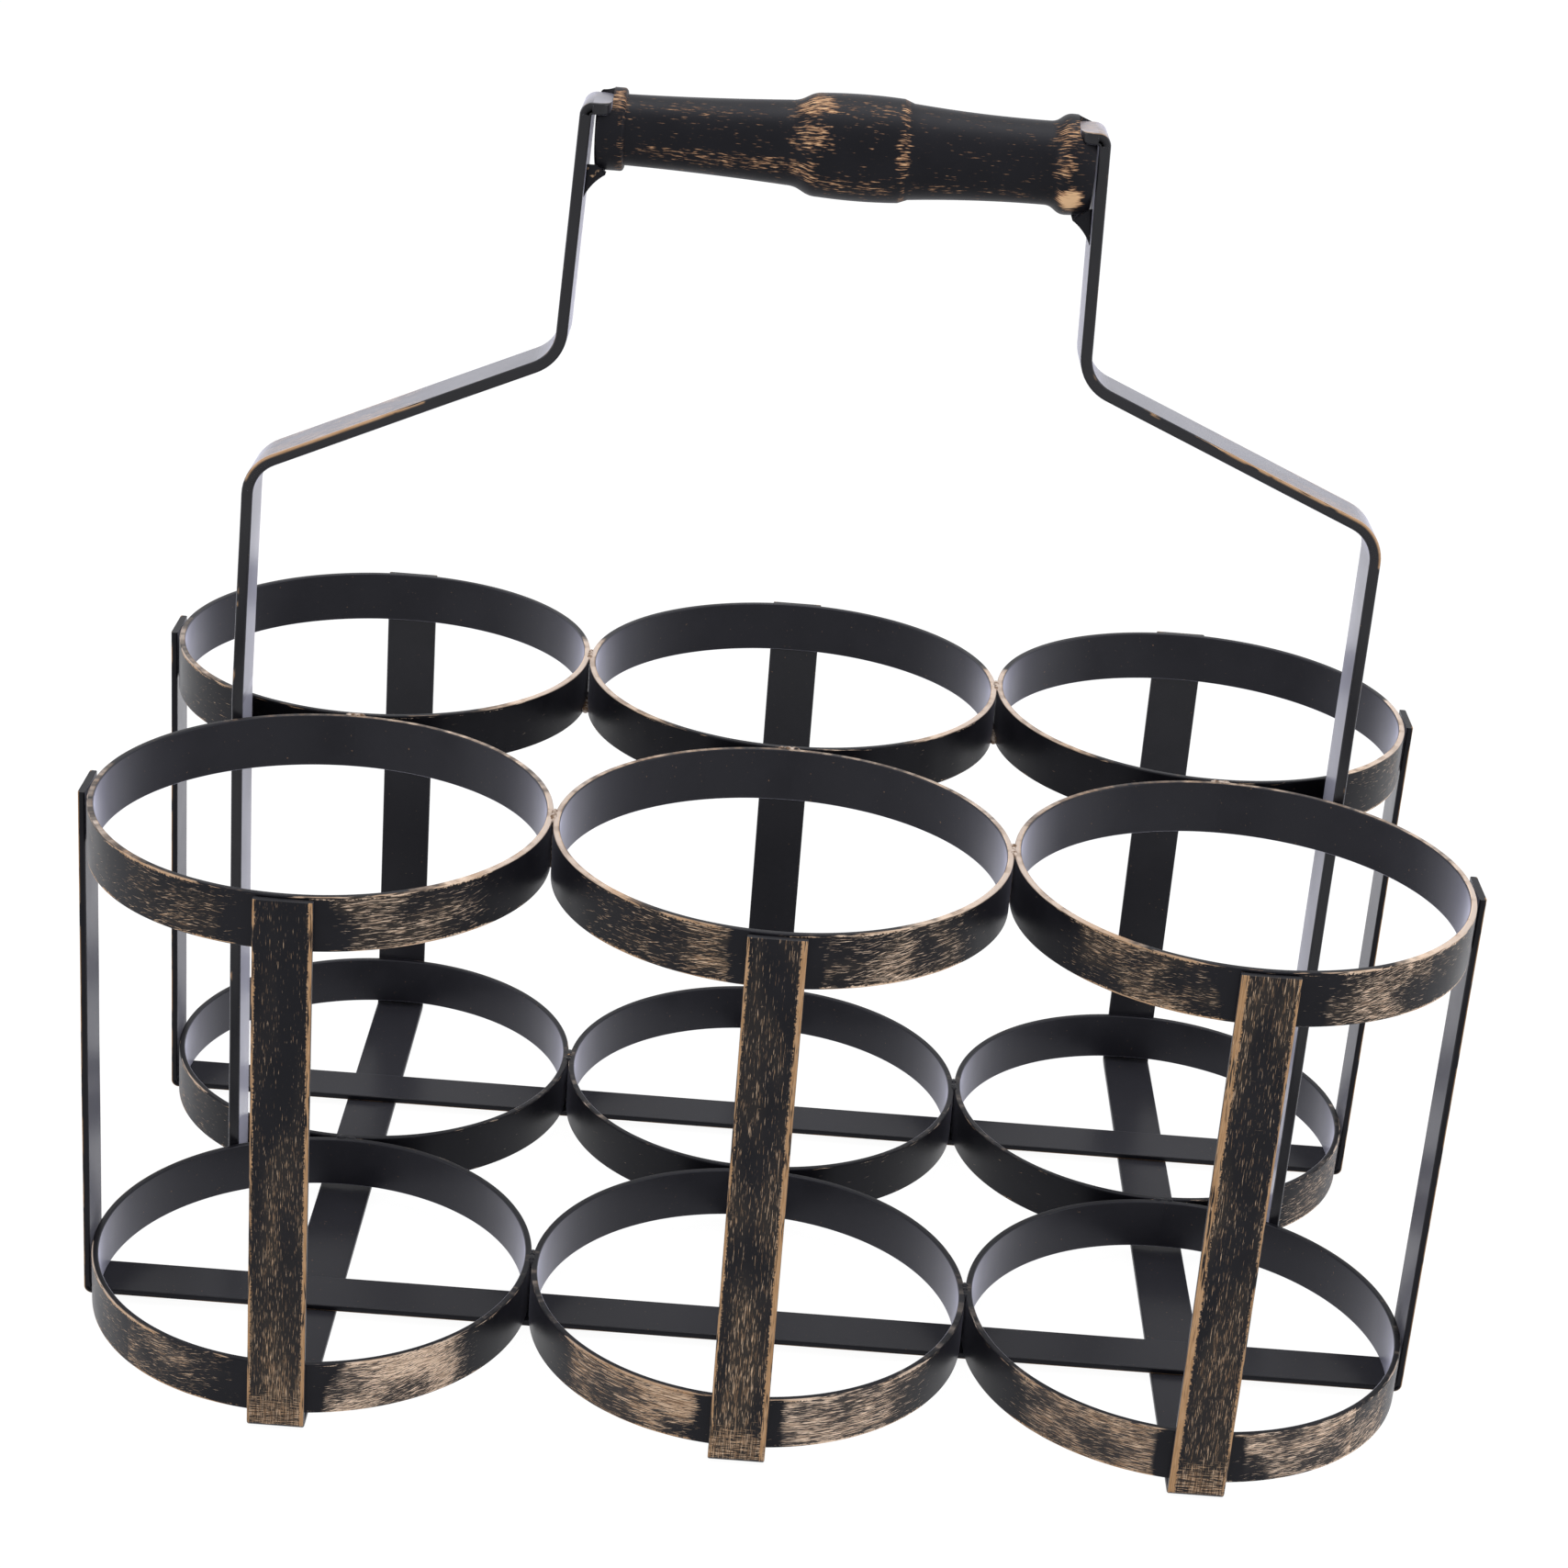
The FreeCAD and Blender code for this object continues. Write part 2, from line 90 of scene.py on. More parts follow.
# %% A bench for building node trees
class NodeBench:
    """A node tree, with short ways to add nodes and to link them."""

    def __init__(self, tree):
        self.tree = tree

    def feed(self, socket, value):
        if isinstance(value, bpy.types.NodeSocket):
            self.tree.links.new(value, socket)
        else:
            socket.default_value = value

    def add(self, kind, feeds=None, **settings):
        node = self.tree.nodes.new(kind)
        for name, value in settings.items():
            setattr(node, name, value)
        for name, value in (feeds or {}).items():
            self.feed(node.inputs[name], value)
        return node

    def make(self, kind, feeds=None, **settings):
        """The first output of a new node."""
        return self.add(kind, feeds, **settings).outputs[0]

    def math(self, operation, *terms):
        node = self.add("ShaderNodeMath", operation=operation)
        for socket, term in zip(node.inputs, terms):
            self.feed(socket, term)
        return node.outputs["Value"]

    def chain(self, operation, first, *others):
        for other in others:
            first = self.math(operation, first, other)
        return first

    def product(self, *terms):
        return self.chain("MULTIPLY", *terms)

    def most(self, *terms):
        return self.chain("MAXIMUM", *terms)

    def plus(self, first, second):
        return self.math("ADD", first, second)

    def minus(self, first, second):
        return self.math("SUBTRACT", first, second)

    def apart(self, first, second):
        """Distance between two values."""
        return self.math("ABSOLUTE", self.minus(first, second))

    def per(self, value, length):
        """A value counted in this length."""
        return self.product(value, 1 / length)

    def add_share(self, value, share, base):
        """The base with this share of a value on top."""
        return self.math("MULTIPLY_ADD", value, share, base)

    def cross(self, first, second):
        node = self.add("ShaderNodeVectorMath", operation="CROSS_PRODUCT")
        self.feed(node.inputs[0], first)
        self.feed(node.inputs[1], second)
        return node.outputs["Vector"]

    def stretch(self, vector, amount):
        feeds = {"Vector": vector, "Scale": amount}
        return self.add("ShaderNodeVectorMath", feeds, operation="SCALE").outputs["Vector"]

    def xyz(self, x, y, z):
        return self.make("ShaderNodeCombineXYZ", {"X": x, "Y": y, "Z": z})

    def parts(self, vector):
        return self.add("ShaderNodeSeparateXYZ", {"Vector": vector}).outputs[:]

    def ramp(self, value, low, high, to_low=0.0, to_high=1.0):
        """Smooth step from one value to another between two marks."""
        feeds = {"Value": value, "From Min": low, "From Max": high, "To Min": to_low, "To Max": to_high}
        return self.add("ShaderNodeMapRange", feeds, interpolation_type="SMOOTHSTEP").outputs["Result"]

    def noise(self, vector, scale=1.0, detail=2.0):
        feeds = {"Vector": vector, "Scale": scale, "Detail": detail, "Roughness": 0.5}
        return self.add("ShaderNodeTexNoise", feeds).outputs["Fac"]

    def mix(self, share, first, second):
        """Colour between two colours."""
        node = self.add("ShaderNodeMix", data_type="RGBA")
        sockets = (node.inputs[0], node.inputs[6], node.inputs[7])
        for socket, value in zip(sockets, (share, first, second)):
            self.feed(socket, value)
        return node.outputs[2]


print("node bench ready")

# %% [markdown]
# ## The finish
# On the real caddy the steel is sprayed satin black. Then gold paint is dragged over
# the outside with an almost dry brush: it leaves short streaks along each bar, a
# firmer line on the edges, and nothing where the brush can't go, inside the basket.
# An image texture could hold that, but it would repeat and would need unwrapping.
# Here the bars carry two attributes of their own, stored when they are swept:
# bar_place is (distance along, distance across, piece number), and bar_side is
# (inner to outer face as -1 to 1, half of the bar's width, nothing).

# %% Fields that the bars carry
def bar_fields(bench):
    """The stored attributes and the place in the caddy, as sockets."""
    place = bench.add("ShaderNodeAttribute", attribute_name="bar_place").outputs["Vector"]
    side = bench.add("ShaderNodeAttribute", attribute_name="bar_side").outputs["Vector"]
    spot = bench.add("ShaderNodeTexCoord").outputs["Object"]
    along, across, number = bench.parts(place)
    face, half_width, _ = bench.parts(side)
    # The distance to the nearest edge bends at the middle of a face, where there are no
    # points to store it on, so it is worked out here.
    edge = bench.minus(half_width, bench.math("ABSOLUTE", across))
    x, y, z = bench.parts(spot)
    return SimpleNamespace(along=along, across=across, number=number, face=face, edge=edge,
                           spot=spot, x=x, y=y, z=z)


print("bar attributes: bar_place, bar_side")

# %% [markdown]
# A dry brush leaves streaks: noise that is stretched along the stroke and cut off high,
# so that only its peaks show. The more paint, the lower the cut. At an amount of 1 the
# cut starts just under the middle of the noise, and near 0 only rare peaks rise over it.

# %% Brush strokes
STROKE_LENGTH = 2.6 * MM
STROKE_WIDTH = 0.14 * MM
PIECE_STEP = 7.31
CUT_DRY = 0.74
CUT_PER_AMOUNT = 0.26
CUT_SOFTNESS = 0.10
PATCH_EDGE = (0.36, 0.64)


def bar_noise(bench, bar, length, width, seed=0.0):
    """Soft noise of this length along a bar and this width across it, another for each piece."""
    layer = bench.add_share(bar.number, PIECE_STEP, seed)
    return bench.noise(bench.xyz(bench.per(bar.along, length), bench.per(bar.across, width), layer), detail=1)


def bristle_marks(bench, bar, turn=0.0, coarse=1.0, seed=0.0):
    """Streaks of a dry brush, drawn at this angle to the bar, as a grey field."""
    cosine, sine = math.cos(turn), math.sin(turn)
    run = bench.plus(bench.product(bar.along, cosine), bench.product(bar.across, sine))
    aside = bench.minus(bench.product(bar.across, cosine), bench.product(bar.along, sine))
    layer = bench.add_share(bar.number, PIECE_STEP, seed)
    return bench.noise(bench.xyz(bench.per(run, STROKE_LENGTH * coarse),
                                 bench.per(aside, STROKE_WIDTH * coarse), layer))


def over_cut(bench, marks, amount):
    """How far the marks rise over a cut that sinks as the amount of paint grows."""
    return bench.minus(marks, bench.add_share(amount, -CUT_PER_AMOUNT, CUT_DRY))


def caught(bench, marks, amount):
    """Gold where the marks rise over the cut."""
    return bench.ramp(over_cut(bench, marks, amount), 0, CUT_SOFTNESS)


def patches(bench, bar, length, width, low, high, seed=0.0):
    """Large soft patches where more or less paint was left on the brush."""
    return bench.ramp(bar_noise(bench, bar, length, width, seed), *PATCH_EDGE, low, high)


def brushed(**where):
    """Where the brush went on one kind of bar, and where its gold gets a painted highlight. Kinds of stroke
    that it leaves out are None.
    """
    kinds = dict.fromkeys(("slanting", "crosswise", "rim", "creamy", "bright", "matt"))
    return SimpleNamespace(**{**kinds, **where})


print("brush strokes:", STROKE_LENGTH, "long,", STROKE_WIDTH, "wide")

# %% [markdown]
# Where the brush went differs from piece to piece, so each kind of bar has its own
# short function. It says how much gold there is in streaks along the bar, in slanting
# and crosswise strokes, in the lines along the edges, and on the rim that faces up.
# A ring is brushed only where it lies near the outside of the basket, and stays bare
# beside the straps, where the bristles ride over the step. The two ends of the basket
# caught less, the left one least. On each ring's right side the gold is paler: a
# painted highlight, as from a light at the right front.

# %% Where the brush went on the rings
BRUSH_FULL = 12 * MM
BRUSH_NONE = 27 * MM
BARE_BESIDE_STRAP = BAR_WIDTH / 2 + 1.2 * MM
BARE_FADE = 3.2 * MM
LEFT_END = -PITCH - 40 * MM
LEFT_DRY = -PITCH - 10 * MM
LEFT_WET = -PITCH + 4 * MM
REAR_HALF = (4 * MM, 18 * MM)
RING_LINE_WIDTH = 0.5 * MM
FLAT_ONLY = (0.45, 0.95)
# Patches: their length and width, and the least and the most that they hold.
BARE_WANDER = (17 * MM, 15 * MM, 0, 9 * MM)
RING_LOAD = (13 * MM, 9 * MM, 0.62, 1.08)
SLANTING_PATCHES = (24 * MM, 40 * MM, 0, 1)
RING_LINE_LOAD = (20 * MM, 8 * MM, 0.5, 1.7)
RIM_LOAD = (12 * MM, 30 * MM, 0.85, 1.15)
# Ramps: the marks that they start and end at, and what they give at each.
OUTSIDE = (BRUSH_FULL, BRUSH_NONE, 1, 0)
BESIDE_STRAP = (BARE_BESIDE_STRAP, BARE_BESIDE_STRAP + BARE_FADE)
CLEAR_OF_STRAP = (BAR_WIDTH / 2 - BARE_FADE, BAR_WIDTH / 2 + BARE_FADE)
STREAKS_BY_STRAP = (0, 1, 0.45, 1)
STREAKS_AT_END = (0, 1, 1, 0.62)
STREAKS_AT_LEFT = (LEFT_DRY, LEFT_WET, 0.72, 1)
LINES_INSIDE = (0, 1, 0.35, 1)
LINES_BY_STRAP = (0, 1, 0.55, 1)
# Right of each strap the ring's gold is paler: a painted highlight, as from a light at the right front.
PAINTED_HIGHLIGHT_RIGHT = (-5 * MM, 14 * MM, 0.2, 1)
RIM_BY_STRAP = (*REAR_HALF, 0.15, 0.85)
RIM_BETWEEN_STRAPS = (20 * MM, 40 * MM)
RIM_AT_LEFT = (LEFT_END, LEFT_DRY, 0.4, 1)
RIM_AT_REAR = (20 * MM, 60 * MM, 0.5, 0.1)
CREAM_BETWEEN_STRAPS = (30 * MM, 45 * MM, 0.25, 1)


def ring_reach(bench, bar):
    """How far outside a point is, if it faces an end, and how far off the straps are."""
    far_x = bench.math("ABSOLUTE", bar.x)
    far_y = bench.math("ABSOLUTE", bar.y)
    inset_x = bench.minus(REACH_X, far_x)
    inset_y = bench.minus(REACH_Y, far_y)
    outside = bench.ramp(bench.math("MINIMUM", inset_x, inset_y), *OUTSIDE)
    faces_end = bench.math("LESS_THAN", inset_x, inset_y)
    to_front_strap = bench.math("MINIMUM", far_x, bench.apart(far_x, PITCH))
    to_end_strap = bench.apart(far_y, ROW_Y)
    to_strap = bench.plus(bench.product(faces_end, to_end_strap),
                          bench.product(bench.minus(1, faces_end), to_front_strap))
    return outside, faces_end, to_front_strap, to_strap


def ring_rim(bench, bar, to_front_strap, gold):
    """Gold on the rim that faces up, with little at the far left and at the rear."""
    to_rear = bench.minus(bar.y, bench.product(bench.math("SIGN", bar.y), ROW_Y))
    by_strap = bench.ramp(to_rear, *RIM_BY_STRAP)
    at_rear = bench.ramp(bar.y, *RIM_AT_REAR)
    return bench.product(bench.ramp(to_front_strap, *RIM_BETWEEN_STRAPS, by_strap, 1),
                         bench.ramp(bar.x, *RIM_AT_LEFT),
                         bench.ramp(to_rear, *REAR_HALF, 1, at_rear),
                         patches(bench, bar, *RIM_LOAD, seed=11.0), gold)


def ring_brushing(bench, bar, streak_gold, slant_gold, rim_gold, painted_highlight_amount):
    outside, faces_end, to_front_strap, to_strap = ring_reach(bench, bar)
    wander = patches(bench, bar, *BARE_WANDER, seed=2.0)
    clear = bench.ramp(bench.minus(to_strap, wander), *CLEAR_OF_STRAP)
    reached = bench.product(outside, bench.ramp(to_strap, *BESIDE_STRAP),
                            bench.ramp(clear, *STREAKS_BY_STRAP), bench.ramp(faces_end, *STREAKS_AT_END),
                            bench.ramp(bar.x, *STREAKS_AT_LEFT), patches(bench, bar, *RING_LOAD))
    # Right of the nearest strap the gold gets a painted highlight, as from a light at the right front.
    column = bench.product(bench.math("ROUND", bench.per(bar.x, PITCH)), PITCH)
    return brushed(
        streaks=bench.product(reached, streak_gold),
        slanting=bench.product(reached, patches(bench, bar, *SLANTING_PATCHES, seed=5.0), slant_gold),
        lines=bench.product(bench.ramp(outside, *LINES_INSIDE), bench.ramp(clear, *LINES_BY_STRAP),
                            patches(bench, bar, *RING_LINE_LOAD, seed=8.0)),
        line_width=RING_LINE_WIDTH, around=FLAT_ONLY,
        rim=ring_rim(bench, bar, to_front_strap, rim_gold),
        creamy=bench.ramp(to_front_strap, *CREAM_BETWEEN_STRAPS),
        bright=bench.product(bench.ramp(bench.minus(bar.x, column), *PAINTED_HIGHLIGHT_RIGHT), painted_highlight_amount))


print("brush reaches", BRUSH_FULL, "to", BRUSH_NONE, "into the basket")

# %% [markdown]
# A strap is brushed along its two upright legs, with a few strokes across the foot. The
# left strap has the most gold low down, and the right one is even. One edge of each
# caught more paint: the right edge of the left and middle straps, and the left edge of
# the right one. The arms were only wiped: some streaks on the faces that point up, and
# worn edges on the slope.

# %% Where the brush went on the straps and arms
EITHER_SIDE = (-1 * MM, 1 * MM)
STRAP_LEG = (0.2 * MM, 1.4 * MM)
STRAP_HEIGHTS = (0.10 * BASKET_TOP, 0.75 * BASKET_TOP)
GOLD_LOW_DOWN = (-PITCH, PITCH, 0.80, 0.55)
GOLD_AT_TOP = (-PITCH, PITCH, 0.39, 0.60)
STRAP_LOAD = (26 * MM, 6 * MM, 0.72, 1.2)
STRAP_LINE_LOAD = (30 * MM, 6 * MM, 0.95, 1.5)
FOOT_STROKES = 14 * MM
ACROSS_FOOT = (0.3 * FOOT_STROKES, FOOT_STROKES, 1, 0)
HEAVY_EDGE_TURNS = (0.5 * PITCH - MM, 0.5 * PITCH + MM, 1, -1)
HEAVY_EDGE_WIDTH = (-PITCH, PITCH, 0.85 * MM, 1.5 * MM)
HEAVY_EDGE_LOAD = 0.3
LIGHT_EDGE_WIDTH = 0.60 * MM
LEG_FOOT = 202 * MM
ON_LEG = (LEG_FOOT - 4 * MM, LEG_FOOT + 4 * MM)
ON_SLOPE = (174 * MM, 182 * MM, 0.2, 1)
BY_SHOULDER = (72 * MM, 100 * MM)
SLOPE_STREAKS = (0, 1, 0.25, 0.8)
SLOPE_LINES = (0, 1, 0.3, 1.4)
ON_TONGUE = (260 * MM, 262 * MM)
TONGUE_STREAKS = (*EITHER_SIDE, 0.5, 1.1)
ARM_LOAD = (22 * MM, 8 * MM, 0.5, 1.15)
ARM_LINE_LOAD = (24 * MM, 6 * MM, 0.9, 1.5)
ARM_LINE_WIDTH = 0.85 * MM
ROUND_EDGE = (0.40, 0.80)
INNER_HALF = (-0.95, -0.5, 1, 0)
UPWARD = (0.4, 0.8)


def strap_brushing(bench, bar):
    upright = bench.ramp(bar.z, *STRAP_LEG)
    low_down, at_top = bench.ramp(bar.x, *GOLD_LOW_DOWN), bench.ramp(bar.x, *GOLD_AT_TOP)
    gold = bench.ramp(bar.z, *STRAP_HEIGHTS, low_down, at_top)
    turned = bench.ramp(bar.x, *HEAVY_EDGE_TURNS)
    heavy_side = bench.ramp(bench.product(bar.across, turned), *EITHER_SIDE)
    heavy_width = bench.ramp(bar.x, *HEAVY_EDGE_WIDTH)
    line_load = bench.plus(patches(bench, bar, *STRAP_LINE_LOAD, seed=8.0),
                           bench.product(heavy_side, HEAVY_EDGE_LOAD))
    return brushed(
        streaks=bench.product(upright, gold, patches(bench, bar, *STRAP_LOAD)),
        crosswise=bench.product(upright, bench.ramp(bar.z, *ACROSS_FOOT)),
        lines=bench.product(upright, line_load),
        line_width=bench.ramp(heavy_side, 0, 1, LIGHT_EDGE_WIDTH, heavy_width), around=FLAT_ONLY)


def arm_brushing(bench, bar):
    normal = bench.add("ShaderNodeNewGeometry").outputs["Normal"]
    upward = bench.ramp(bench.parts(normal)[2], *UPWARD)
    by_shoulder = bench.ramp(bench.math("ABSOLUTE", bar.x), *BY_SHOULDER)
    on_slope = bench.product(bench.ramp(by_shoulder, *SLOPE_STREAKS), patches(bench, bar, *ARM_LOAD))
    on_tongue = bench.product(bench.ramp(bar.z, *ON_TONGUE), bench.ramp(bar.x, *TONGUE_STREAKS))
    return brushed(
        streaks=bench.product(upward, bench.most(on_tongue, on_slope)),
        lines=bench.product(bench.ramp(bar.z, *ON_SLOPE), bench.ramp(by_shoulder, *SLOPE_LINES),
                            patches(bench, bar, *ARM_LINE_LOAD, seed=8.0)),
        line_width=ARM_LINE_WIDTH, around=ROUND_EDGE,
        matt=bench.product(bench.ramp(bar.z, *ON_LEG), bench.ramp(bar.face, *INNER_HALF)))


print("strokes across a strap's foot up to", FOOT_STROKES)

# %% [markdown]
# The black is a little blue and never quite even. The gold is one paint, but it looks
# dark where it lies thin, pale where it lies thick, and cream on the rims. The sheen,
# the coat and the reflection of the lacquer are plain numbers on the shader, because the
# export drops them where they come from other nodes. The roughness may come from nodes.
# The gold lies on top as a rougher, thicker coat, so it also lifts the surface.

# %% Colours and gloss of the finish
BLACK = (0.0044, 0.0043, 0.0062, 1)
BLACK_WORN = (0.0075, 0.0073, 0.0098, 1)
# The inner faces get a slightly lighter black: a painted sheen.
INSIDE_PAINTED_SHEEN = (0.0062, 0.0060, 0.0086, 1)
INSIDE_WORN_PAINTED_SHEEN = (0.0092, 0.0090, 0.0122, 1)
HAZE = (0.0300, 0.0240, 0.0195, 1)
GOLD_DARK = (0.170, 0.102, 0.060, 1)
GOLD = (0.420, 0.272, 0.165, 1)
GOLD_PALE = (0.580, 0.425, 0.300, 1)
CREAM = (0.590, 0.490, 0.425, 1)
# A paler gold for each ring's right side: a painted highlight.
GOLD_PAINTED_HIGHLIGHT = (0.860, 0.680, 0.540, 1)
EDGE_GOLD = (0.430, 0.250, 0.122, 1)
# A lighter, greyer haze for the lower rings: gold dust, with a painted reflection of the pale floor in it.
LOWER_HAZE_AND_FLOOR_SHEEN = (0.0480, 0.0410, 0.0385, 1)
LACQUER = {
    "Specular IOR Level": 0.16, "Specular Tint": (0.90, 0.91, 1.0, 1),
    "Sheen Weight": 0.1, "Sheen Roughness": 0.3, "Sheen Tint": (0.80, 0.80, 1.0, 1),
    "Coat Weight": 0.0, "Coat IOR": 1.3, "Coat Roughness": 0.25,
}
ARM_LACQUER = {**LACQUER, "Sheen Weight": 1.0, "Coat Weight": 1.0}
INSIDE_LACQUER = {**LACQUER, "Specular IOR Level": 0.26, "Sheen Weight": 1.0, "Sheen Roughness": 0.36}
STRAP_INSIDE_LACQUER = {**INSIDE_LACQUER, "Sheen Weight": 0.3, "Coat Weight": 0.6}
ARM_INSIDE_LACQUER = {**INSIDE_LACQUER, "Coat Weight": 1.0}
MOTTLES_PER_METRE = 90
MOTTLE_WORN = (0.35, 0.7)
MOTTLE_ROUGHNESS = (0.3, 0.7, 0.32, 0.40)
GRAINS_PER_METRE = 2600
GRAIN_HEIGHT = 0.4
GOLD_HEIGHT = 0.8
GOLD_RELIEF = {"Strength": 0.3, "Distance": 0.03 * MM}
GOLD_ROUGHNESS = 0.25
GOLD_METALLIC = 0.2


def new_finish(name, lacquer=LACQUER):
    """A new material, a bench for its nodes and its shader, with the gloss of the lacquer."""
    material = bpy.data.materials.new(name)
    material.use_nodes = True
    shader = material.node_tree.nodes["Principled BSDF"]
    for socket, value in lacquer.items():
        shader.inputs[socket].default_value = value
    return material, NodeBench(material.node_tree), shader


def satin_black(bench, spot, dark=BLACK, worn=BLACK_WORN):
    """Colour and roughness of the sprayed black, from its place alone."""
    mottle = bench.noise(spot, scale=MOTTLES_PER_METRE, detail=3)
    return bench.mix(bench.ramp(mottle, *MOTTLE_WORN), dark, worn), bench.ramp(mottle, *MOTTLE_ROUGHNESS)


def lay_gold(bench, shader, spot, gold, paint, black, gloss):
    """Joins the black and the gold on the shader, the gold rougher and a little raised."""
    grain = bench.noise(spot, scale=GRAINS_PER_METRE, detail=1)
    height = bench.plus(bench.product(gold, GOLD_HEIGHT), bench.product(grain, GRAIN_HEIGHT))
    lift = bench.add("ShaderNodeBump", {"Height": height, **GOLD_RELIEF})
    bench.feed(shader.inputs["Base Color"], bench.mix(gold, black, paint))
    bench.feed(shader.inputs["Roughness"], bench.add_share(gold, GOLD_ROUGHNESS, gloss))
    bench.feed(shader.inputs["Metallic"], bench.product(gold, GOLD_METALLIC))
    bench.feed(shader.inputs["Normal"], lift.outputs["Normal"])


print("lacquer:", LACQUER)

# %% [markdown]
# At each point the gold is the most of all the strokes that crossed it: the streaks, the
# slanting and crosswise strokes, the ragged line on an edge, and the rubbed rim. It
# could be painted by hand on every piece, but sums of fields follow each bar by
# themselves and never repeat. Its colour changes along the strokes too.

# %% How the gold lies on a bar
# Strokes: their angle to the bar, their coarseness and their seed.
SLANTING_STROKES = (math.radians(16), 1.3, 3.0)
CROSSWISE_STROKES = (math.radians(90), 1.1, 4.0)
EDGE_STROKES = (0.0, 2.2, 6.0)
TONE_STROKES = (0.0, 1.6, 31.0)
MIDDLE_GREY = 0.5
RAGGED = 0.5 * MM
RAGGED_DEPTH = 1.1 * MM
LINE_FADE = (-0.15 * MM, 0.15 * MM, 1, 0)
RIM_EDGE = (BAR_WIDTH / 2 - 0.35 * MM, BAR_WIDTH / 2 - 0.1 * MM)
RIM_FACE = (-1.0, -0.7)
RIM_WEAR = 0.7
RIM_PAINT = (0.25, 0.75)
TONE_GOLD = (0.38, 0.5)
TONE_PALE = (0.49, 0.62)
# Where along the strokes the painted highlight shows.
TONE_PAINTED_HIGHLIGHT = (0.38, 0.58, 0.3, 1)
TONE_CREAM = (0.3, 0.6, 0.6, 1)
CREAM_FACE = (-0.8, -0.1)
EDGE_GOLD_SHARE = 0.75


def gold_cover(bench, bar, brush):
    """How much gold covers each point of a bar, how much of it lines an edge, and what is rim."""
    fine = bristle_marks(bench, bar)
    cover = caught(bench, fine, brush.streaks)
    for strokes, amount in ((SLANTING_STROKES, brush.slanting), (CROSSWISE_STROKES, brush.crosswise)):
        if amount is not None:
            cover = bench.most(cover, caught(bench, bristle_marks(bench, bar, *strokes), amount))
    teeth = bench.minus(bar_noise(bench, bar, RAGGED, RAGGED), MIDDLE_GREY)
    edge = bench.add_share(teeth, RAGGED_DEPTH, bar.edge)
    near_edge = bench.ramp(bench.minus(edge, brush.line_width), *LINE_FADE)
    lined = bench.product(near_edge, caught(bench, bristle_marks(bench, bar, *EDGE_STROKES), brush.lines))
    cover = bench.product(bench.ramp(bar.face, *brush.around), bench.most(cover, lined))
    if brush.rim is None:
        return cover, lined, None
    on_rim = bench.ramp(bar.across, *RIM_EDGE)
    worn = bench.add_share(bench.minus(fine, MIDDLE_GREY), RIM_WEAR, brush.rim)
    rubbed = bench.product(on_rim, bench.ramp(bar.face, *RIM_FACE), bench.ramp(worn, *RIM_PAINT))
    return bench.most(cover, rubbed), lined, on_rim


def gold_paint(bench, bar, brush, lined, on_rim):
    """Colour of the gold: dark to pale along the strokes, browner on edges, a painted highlight on the rings'
    right sides, cream on rims.
    """
    tone = bristle_marks(bench, bar, *TONE_STROKES)
    paint = bench.mix(bench.ramp(tone, *TONE_GOLD), GOLD_DARK, GOLD)
    paint = bench.mix(bench.ramp(tone, *TONE_PALE), paint, GOLD_PALE)
    paint = bench.mix(bench.product(lined, EDGE_GOLD_SHARE), paint, EDGE_GOLD)
    # On the rings' right sides a paler gold is a painted highlight, as from a light at the right front.
    if brush.bright is not None:
        bright = bench.product(brush.bright, bench.ramp(tone, *TONE_PAINTED_HIGHLIGHT))
        paint = bench.mix(bright, paint, GOLD_PAINTED_HIGHLIGHT)
    if on_rim is not None:
        creamy = bench.product(on_rim, brush.creamy, bench.ramp(tone, *TONE_CREAM),
                               bench.ramp(bar.face, *CREAM_FACE))
        paint = bench.mix(creamy, paint, CREAM)
    return paint


print("gold lines with teeth", RAGGED, "long")

# %% [markdown]
# All the bars share one recipe, with a thin haze of gold that dulls the black under the
# streaks. On the lower rings that haze is lighter and greyer: gold dust, with a painted
# reflection of the pale floor in it. The lower rings got more paint on their fronts and
# less on their rims than the upper ones. The inner faces, which no brush reached, are
# satin black, a little lighter than outside as a painted sheen, and the straps' inner
# faces are duller towards the foot.

# %% Antiqued black steel
# The last amount of each level is the painted highlight on each ring's right side.
RING_GOLD = {
    "upper": {"streak_gold": 0.72, "slant_gold": 0.80, "rim_gold": 1.05, "painted_highlight_amount": 0.75},
    "lower": {"streak_gold": 1.02, "slant_gold": 1.22, "rim_gold": 0.25, "painted_highlight_amount": 0.88},
}
# The lower rings' haze holds a painted reflection of the pale floor.
RING_HAZE_AND_SHEEN = {"upper": HAZE, "lower": LOWER_HAZE_AND_FLOOR_SHEEN}
HAZE_AND_SHEEN_RAMP = (0.35, 0.85)
HAZE_ROUGHNESS = 0.2
MATT_ROUGHNESS = 0.6
INSIDE_HEIGHTS = (0.2 * BASKET_TOP, 0.95 * BASKET_TOP)
STRAP_FOOT_ROUGHNESS = 0.55
SPECK = 0.6 * MM
SPECK_AMOUNT = 0.02


